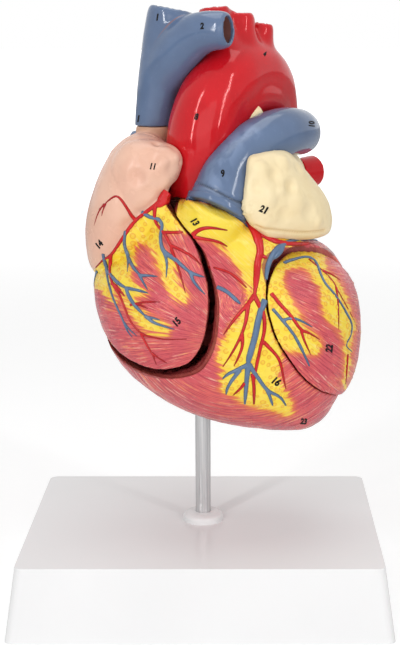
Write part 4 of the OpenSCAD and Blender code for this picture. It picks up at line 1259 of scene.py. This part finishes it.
def brushed(name, low, high, across, rough=(0.22, 0.36)):
    """Steel with drawn lines. across is how closely the lines lie along each axis."""
    g = Paint(name)
    lines = g.grain(g.stretched(g.at, *across), 1, 3)
    colour = g.mix(g.step(lines, 0.3, 0.7), low, high)
    g.shader.inputs["Metallic"].default_value = 1.0
    wear = lines + g.grain(g.at, 60, 2) * 0.4
    return g.finish(colour, g.step(wear, 0.45, 0.95, *rough), lines, 0.15, 0.0001, 0.5)


def ink():
    g = Paint("printed_ink")
    shade = g.step(g.grain(g.at, 900, 2), 0.35, 0.7)
    return g.finish(g.mix(shade, (0.004, 0.004, 0.005), (0.018, 0.017, 0.018)), 0.6, shine=0.12)


# ---- shaping and painting
def facing(o):
    """1 where a surface turns to the camera, 0 where it turns away."""
    way = np.array(CAM_AT) - coords(o)
    way /= np.linalg.norm(way, axis=1)[:, None]
    return smoothstep(-0.15, 0.2, (way * normals(o)).sum(1))


def form_tree(*forms):
    """A search tree of forms in the heart's frame."""
    return BVHTree.FromPolygons(*merged(((p + np.array([0, 0, HEART_Z])) * MM, f) for p, f in forms))


def inner_field(o, tree, low=0.45, high=0.95):
    """1 on the cut faces inside a piece, 0 on its outside, and the distance to the outside."""
    gap = gap_to(tree, coords(o))
    return smoothstep(low, high, gap), gap


def depth_axis(o, p):
    """Fibre coordinates with the depth added, so that they hold on the sides as well."""
    p = p.copy()
    p[:, 2] = coords(o)[:, 1] / MM * 2.2
    return p


def work_wall(o, deep, beam, size, seed, outside, skin_size, skin_height):
    """Small beams on the walls of a chamber, and faint bundles of fibre on the outside."""
    beams = np.abs(wander(coords(o) * np.array([1, 1, size[1]]), size[0], seed))
    bundles = wander(coords(o), skin_size, seed + 1) * skin_height
    push(o, deep * (0.9 - 3.2 * beams) * beam + outside * bundles)


def put_fields(o, **fields):
    for name, values in fields.items():
        put_field(o, name, values)


def zones(p, outlines):
    """How far points lie inside the nearest of some outlines."""
    return np.max([inside_by(p, z) for z in outlines], axis=0)


outer_muscle = form_tree(ventricle(), *conus())
outer_right = form_tree(ventricle(), *conus(), right_atrium(), right_auricle(), tube(GROOVE_ROUTE))
outer_left = form_tree(left_side())
atria = form_tree(left_atrium(), right_atrium(), tube(INFERIOR_CAVA_ROUTE))

# The heart's own muscle.
body_inner, body_gap = inner_field(body, outer_muscle)
body_front = facing(body)
work_wall(body, smoothstep(4.5, 7.5, body_gap), 0.8, (4.2, 0.55), 1, 1 - body_inner, 5, 0.16)
press(body, tree_of(body), HEART_BUMPS)
px = to_px(coords(body))
front_fat = zones(px, FAT_ON_HEART)

body_tree = tree_of(body)
back_line = line_tree([p for row in BACK_BLUE + BACK_RED
                       for p in landed(body_tree, open_spline(row[0], 10), True)[0]])
from_vessel = np.array([back_line.find(Vector(p))[2] for p in coords(body)]) / MM
groove = gap_to(atria, coords(body))
back_fat = np.maximum(5.0 - from_vessel, 6.5 - groove) * 2.2 + wander(coords(body), 9, 3) * 7
slant = smoothstep(300, 285, px[:, 1]) * smoothstep(262, 250, px[:, 0])
upper = smoothstep(252, 235, px[:, 1]) * smoothstep(262, 250, px[:, 0]) * body_front
opening = form_tree(right_front(SEAM, SEAM), right_front(0, SEAM, RIGHT_GAP * 0.7, -SHELF_GAP * 0.7),
                    right_front(0, SEAM, 0, -SHELF_GAP))
from_opening = gap_to(opening, coords(body))
low_lip = smoothstep(318, 345, px[:, 1]) * smoothstep(232, 205, px[:, 0])
left_groove = np.maximum(inside_by(px, GROOVE_ON_HEART), -9) * body_front
# One field marks a dark band of painted shade, in the cut walls' colour, beside the right opening's lower lip
# and in the groove above the left lid.
put_fields(body, fat=front_fat * body_front + back_fat * (1 - body_front),
           fibre=depth_axis(body, fibres_round(px, (242, 299), 62)),
           fibre_b=depth_axis(body, fibres_slanted(px, 43)), swap=slant * body_front,
           soft=0.7 - 0.62 * upper, inner=body_inner, cave=smoothstep(2.0, 4.5, body_gap),
           rim=np.maximum(smoothstep(2.6, 0.2, from_opening) * low_lip * 1.1,
                          smoothstep(-1.5, 1.5, left_groove) * 1.5))
push(body, smoothstep(3.0, 0.3, from_opening) * low_lip * wander(coords(body), 2.2, 4, 3) * 0.22)
beaded = (front_fat * body_front > 1) & (body_inner < 0.1) & (inside_by(px, FAT_ON_HEART[1]) > 0)
put_fields(body, bead=beads(body, beaded, 2.6, 5))

# The right lid, with the front of the atrium.
right_facing = facing(right_lid)
right_inner, right_gap = inner_field(right_lid, outer_right)
right_px = to_px(coords(right_lid))
atrium_field = smoothstep(-0.8, 0.8, inside_by(right_px, ATRIUM_ON_RIGHT)) * right_facing
height = coords(right_lid)[:, 2] / MM - HEART_Z
atrium_field = np.maximum(atrium_field, smoothstep(66, 70, height) * (1 - right_facing))
right_cave = smoothstep(2.0, 4.5, right_gap)
work_wall(right_lid, right_cave, 0.6, (3.8, 0.6), 5, (1 - right_inner) * (1 - atrium_field), 4, 0.14)
right_tree = tree_of(right_lid)
press(right_lid, right_tree, RIGHT_DENTS)
right_fat = zones(right_px, FAT_ON_RIGHT)
right_fat = right_fat * right_facing + (1 - right_facing) * (wander(coords(right_lid), 9, 7) * 8 - 1)
put_fields(right_lid, fat=right_fat, soft=np.full(len(right_px), 0.85),
           fibre=depth_axis(right_lid, fibres_from(right_px, (236, 343), 95, -1)), inner=right_inner,
           cave=right_cave, atrium=atrium_field)
beaded = (right_fat > 2) & (atrium_field < 0.1) & (right_inner < 0.1)
put_fields(right_lid, bead=beads(right_lid, beaded, 2.8, 8))

# The left lid.
left_facing = facing(left_lid)
left_inner, left_gap = inner_field(left_lid, outer_left)
left_px = to_px(coords(left_lid))
left_cave = smoothstep(2.0, 4.5, left_gap)
work_wall(left_lid, left_cave, 0.6, (3.8, 0.6), 9, 1 - left_inner, 4, 0.14)
left_tree = tree_of(left_lid)
left_fat = np.minimum(-zones(left_px, MUSCLE_ON_LEFT), -inside_by(left_px, LEFT_LOW))
left_fat = left_fat * left_facing + (1 - left_facing) * (wander(coords(left_lid), 10, 11) * 9)
put_fields(left_lid, fat=left_fat, soft=np.full(len(left_px), 0.4),
           fibre=depth_axis(left_lid, fibres_from(left_px, (153, 227), 170, 1)), inner=left_inner,
           cave=left_cave)
put_fields(left_lid, bead=beads(left_lid, (left_fat > 1.5) & (left_inner < 0.1), 2.6, 12))

for o in (body, right_lid, left_lid):
    a = np.zeros(len(o.data.vertices))
    o.data.attributes["bead"].data.foreach_get("value", a)
    push(o, BEAD_HEIGHT * np.clip(1 - a * a, 0, 1))

# The atria and the left auricle.
inner, _ = inner_field(right_base, form_tree(right_atrium(), tube(VENA_CAVA_ROUTE)))
above_atrium = smoothstep(0.4, 1.4, gap_to(form_tree(right_atrium()), coords(right_base)))
put_fields(right_base, inner=inner, foot=(1 - inner) * above_atrium)
push(right_base, (1 - inner) * wander(coords(right_base), 8, 13) * 0.35)

inner, _ = inner_field(atrium, form_tree(left_atrium()))
put_fields(atrium, inner=inner)
push(atrium, (1 - inner) * wander(coords(atrium), 7, 14) * 0.5)

auricle_tree = tree_of(auricle)
press(auricle, auricle_tree, LEFT_DENTS)
# A crease along the auricle's lower fold, pressed into the clay and darkened with painted shade.
fold = near_line(auricle, auricle_tree, AURICLE_FOLD, 1.3)
push(auricle, -0.7 * fold + wander(coords(auricle), 4, 15) * 0.10)
put_fields(auricle, fold=fold * 0.8)
glue_px = to_px(coords(auricle))
glue = smoothstep(255, 249, glue_px[:, 0]) * smoothstep(218, 212, glue_px[:, 1]) \
    * smoothstep(198, 204, glue_px[:, 1])
push(auricle, glue * np.abs(wander(coords(auricle), 1.6, 16, 3)) * 1.2)

# The great vessels.
pulmonary_tree = tree_of(pulmonary)
seam = near_line(pulmonary, pulmonary_tree, PULMONARY_SEAM, 1.5)
push(pulmonary, -0.75 * smoothstep(0, 1, seam))
# A painted highlight on the pulmonary trunk, laid along a path in pixels.
scuff = near_line(pulmonary, pulmonary_tree, PULMONARY_SHEEN, 7.0)
put_fields(pulmonary, edge=smoothstep(0.45, 0.9, seam), scuff=smoothstep(0, 1, scuff) * 0.3)
for o, routes in ((aorta, AORTA), (pulmonary, PULMONARY), (cava, CAVA), (low_cava, [INFERIOR_CAVA_ROUTE]),
                  (left_veins, LEFT_VEIN_ROUTES), (right_veins, RIGHT_VEIN_ROUTES)):
    inner, _ = inner_field(o, form_tree(*tubes(routes)), 0.9, 1.25)
    put_fields(o, inner=inner)
    push(o, (1 - inner) * wander(coords(o), 14, 17) * 0.22)

for o in (tricuspid, mitral, right_pillars, left_pillars):
    push(o, wander(coords(o), 2.4, 18) * 0.10)

WORLD_LIGHT = 0.42
KEY_POWER = 4.6
FILL_POWER = 3.4
TOP_POWER = 4.2
FRONT_POWER = 2.6
STRIP_W = 0.07
STRIP_L = 0.95
HEART_MIDDLE = (0.0, 0.0, 0.17)

# ---- vessels on the surface
body_tree, right_tree, left_tree = tree_of(body), tree_of(right_lid), tree_of(left_lid)
right_red = vessels("right_lid_arteries", right_tree, RIGHT_LID_RED)
right_blue = vessels("right_lid_veins", right_tree, RIGHT_LID_BLUE)
heart_red = vessels("heart_arteries", body_tree, HEART_RED, behind=BACK_RED)
heart_blue = vessels("heart_veins", body_tree, HEART_BLUE, behind=BACK_BLUE)
left_red = vessels("left_lid_arteries", left_tree, LEFT_LID_RED)
left_blue = vessels("left_lid_veins", left_tree, LEFT_LID_BLUE)
right_root = vessels("right_coronary_root", right_tree, RIGHT_ROOT, 0.25)


def band_on(tree, top, bottom, rise, thick, steps=60, cols=14):
    """A thin band laid on a surface between two paths in pixels."""
    a, b = [open_spline(path, steps // (len(path) - 1)) for path in (top, bottom)]
    n = min(len(a), len(b))
    a, b = [path[np.linspace(0, len(path) - 1, n).round().astype(int)] for path in (a, b)]
    outer, under = [], []
    for i in range(n):
        for k in range(cols + 1):
            at, normal = tree.ray_cast(CAM_AT, px_way(*(a[i] + (b[i] - a[i]) * k / cols)))[:2]
            lift = rise * min(1, 2.4 * math.sin(math.pi * k / cols))
            outer.append(np.array(at + normal * lift * MM))
            under.append(np.array(at - normal * thick * MM))
    w = cols + 1
    m = n * w
    faces = []
    for q in [i * w + k for i in range(n - 1) for k in range(cols)]:
        faces.append((q, q + 1, q + w + 1, q + w))
        faces.append((m + q, m + q + w, m + q + w + 1, m + q + 1))
    ring = list(range(cols)) + [i * w + cols for i in range(n - 1)]
    ring += [(n - 1) * w + k for k in range(cols, 0, -1)] + [i * w for i in range(n - 1, 0, -1)]
    for p, q in zip(ring, ring[1:] + ring[:1]):
        faces.append((q, p, m + p, m + q))
    return np.array(outer + under) / MM, faces


band_form = band_on(tree_of(body, pulmonary, aorta), ROOT_BAND_TOP, ROOT_BAND_FOOT, 0.35, 0.6)
root_band = remesh(to_object("pulmonary_root_band", band_form, 0), 0.3, 2)

PRINT_ON = {"cava": cava, "aorta": aorta, "pulmonary": pulmonary, "right_lid": right_lid, "body": body,
            "auricle": auricle, "left_lid": left_lid, "atrium": atrium}
PRINT_CARRIER = {"right_lid": "right_cover", "left_lid": "left_cover"}
prints = []
for behind, rows in ((False, NUMBERS), (True, BACK_NUMBERS)):
    for i, (text, at, cap, turn, where) in enumerate(rows):
        name = "number_%s_%s%d" % (text, "back" if behind else "front", i)
        o = printed(name, text, at, cap, turn, tree_of(PRINT_ON[where]), behind)
        if o:
            prints.append(o)
            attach(o, PRINT_CARRIER.get(where, "heart"))

LAID_ON = {"right_cover": right_tree, "heart": body_tree, "left_cover": left_tree}
RELIEF = [
    (right_red, "right_cover", "artery_red"), (right_blue, "right_cover", "vein_blue"),
    (right_root, "right_cover", "artery_red"), (heart_red, "heart", "artery_red"),
    (heart_blue, "heart", "vein_blue"), (root_band, "heart", "vein_blue"),
    (left_red, "left_cover", "artery_red"), (left_blue, "left_cover", "vein_blue"),
]
# The edge field marks each raised piece's foot, where painted shade darkens it against the casting under it.
for piece, carrier, slot in RELIEF:
    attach(piece, carrier)
    put_fields(piece, edge=smoothstep(0.50, 0.12, gap_to(LAID_ON[carrier], coords(piece))))

# The pale ligament between the arch and the pulmonary trunk.
ligament = remesh(to_object("arterial_ligament", tube(LIGAMENT_ROUTE)), 0.4, 6)
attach(ligament, "heart")

# ---- finishes
RED = ((0.56, 0.006, 0.012), (0.64, 0.010, 0.017))
RED_SHINE = (1.0, 0.5, 0.5)
PALE_INSIDE = (0.5, 0.2, 0.15)
PAINTED = [
    (cast_paint(), [body, right_lid, left_lid]),
    (matt_paint("atrium_pink", *PINK, (0.76, 0.40, 0.29), (0.30, 0.055, 0.05)), [right_base]),
    (matt_paint("auricle_cream", (0.90, 0.735, 0.44), (0.925, 0.775, 0.49), (0.74, 0.54, 0.27),
                (0.34, 0.075, 0.06)), [atrium, auricle, ligament]),
    (gloss_paint("aorta_red", *RED, (0.50, 0.14, 0.12), (0.09, 0.14), 0.6, RED_SHINE), [aorta]),
    (gloss_paint("vessel_blue", (0.100, 0.152, 0.265), (0.118, 0.180, 0.310), (0.30, 0.13, 0.11),
                 (0.11, 0.20), 0.5), [pulmonary, cava, low_cava, root_band]),
    (gloss_paint("lung_vein_red", *RED, (0.86, 0.70, 0.45), (0.12, 0.18), 0.3, RED_SHINE),
     [left_veins, right_veins]),
    (matt_paint("valve_cream", (0.86, 0.70, 0.47), (0.91, 0.78, 0.56), (0.72, 0.45, 0.30), PALE_INSIDE),
     [tricuspid, mitral]),
    (matt_paint("inner_muscle", (0.42, 0.055, 0.055), (0.52, 0.085, 0.075), (0.30, 0.03, 0.035),
                (0.3, 0.05, 0.05)), [right_pillars, left_pillars]),
    (vessel_paint("relief_red", (0.56, 0.010, 0.015), (0.66, 0.020, 0.024)),
     [right_red, right_root, heart_red, left_red]),
    (vessel_paint("relief_blue", (0.105, 0.175, 0.295), (0.135, 0.215, 0.345)),
     [right_blue, heart_blue, left_blue]),
    (ink(), prints),
]
for paint, pieces in PAINTED:
    for o in pieces:
        o.data.materials.clear()
        o.data.materials.append(paint)
        o.data.polygons.foreach_set("use_smooth", [True] * len(o.data.polygons))

washer_steel = brushed("turned_steel", (0.52, 0.52, 0.53), (0.66, 0.66, 0.67), (300, 300, 1500))
nickel = brushed("nickel", (0.55, 0.54, 0.52), (0.68, 0.67, 0.64), (900, 900, 900), (0.16, 0.28))
string = matt_paint("cord_white", (0.84, 0.78, 0.66), (0.90, 0.85, 0.75), (0.70, 0.55, 0.42), PALE_INSIDE)
CAD_FINISH = {
    "base_plinth": plastic("white_plastic", (0.865, 0.865, 0.868), (0.885, 0.885, 0.888)),
    "post_collar": plastic("collar_plastic", (0.80, 0.80, 0.80), (0.86, 0.86, 0.86), (0.2, 0.3)),
    "support_post": brushed("brushed_steel", (0.50, 0.50, 0.51), (0.68, 0.68, 0.68), (1800, 1800, 25),
                            (0.26, 0.40)),
    "post_socket": plastic("socket_plastic", (0.10, 0.10, 0.105), (0.15, 0.15, 0.155), (0.35, 0.5), 600, 0.2),
    "post_washer": washer_steel, "post_nut": washer_steel, "body_magnets": nickel,
    "right_cover_magnets": nickel, "left_cover_magnets": nickel, "right_tendinous_cords": string,
    "left_tendinous_cords": string,
}
for node, paint in CAD_FINISH.items():
    for s in nodes[node].material_slots:
        s.material = paint

# ---- stage
FLOOR_HALF = 12
floor_mesh = bpy.data.meshes.new("floor")
floor_mesh.from_pydata([(x * FLOOR_HALF, y * FLOOR_HALF, 0) for x, y in ((-1, -1), (1, -1), (1, 1), (-1, 1))],
                       [], [(0, 1, 2, 3)])
floor = bpy.data.objects.new("floor", floor_mesh)
scene.collection.objects.link(floor)
g = Paint("floor_white")
g.shader.inputs["Base Color"].default_value = (0.88, 0.88, 0.88, 1)
g.shader.inputs["Roughness"].default_value = 0.9
# What the camera sees of the floor brightens with distance, so that it meets the backdrop.
from_foot = g.add("VectorMath", {0: g.at}, "Value", operation="LENGTH")
far_glow = g.add("LightPath", output="Is Camera Ray") * g.step(from_foot, 0.4, 2.2, 0.30, 1.0)
glow = g.add("Emission", {"Color": (1, 1, 1, 1), "Strength": far_glow})
both = g.add("AddShader", {0: Wire(g, g.shader.outputs[0]), 1: glow})
g.join(g.tree.nodes["Material Output"].inputs[0], both)
floor.data.materials.append(g.material)

world = bpy.data.worlds.new("world")
scene.world = world
g = Graph(world)
camera_ray, glossy_ray, transmission_ray = [
    g.add("LightPath", output=kind) for kind in ("Is Camera Ray", "Is Glossy Ray", "Is Transmission Ray")]
white_seen = g.maths("MAXIMUM", g.maths("MAXIMUM", camera_ray, glossy_ray), transmission_ray)
backdrop = g.tree.nodes["Background"].inputs
backdrop["Color"].default_value = (1, 1, 1, 1)
g.join(backdrop["Strength"], g.step(white_seen, 0, 1, WORLD_LIGHT, 1.0))


def softbox(name, at, aim, wide, tall, power):
    """A soft lamp that faces a point."""
    lamp = bpy.data.lights.new(name, "AREA")
    lamp.shape = "RECTANGLE"
    lamp.size, lamp.size_y, lamp.energy = wide, tall, power
    o = bpy.data.objects.new(name, lamp)
    o.location = at
    o.rotation_euler = (Vector(aim) - Vector(at)).to_track_quat("-Z", "Y").to_euler()
    scene.collection.objects.link(o)


softbox("key", (-0.62, -0.98, 0.62), HEART_MIDDLE, STRIP_W, STRIP_L, KEY_POWER)
softbox("fill", (0.80, -0.85, 0.60), HEART_MIDDLE, STRIP_W, STRIP_L, FILL_POWER)
softbox("front", (0.05, -1.35, 0.30), HEART_MIDDLE, 1.0, 0.8, FRONT_POWER)
softbox("top", (0.0, 0.15, 1.30), (0.0, 0.0, 0.1), 0.9, 0.9, TOP_POWER)
scene.view_settings.view_transform = "Standard"
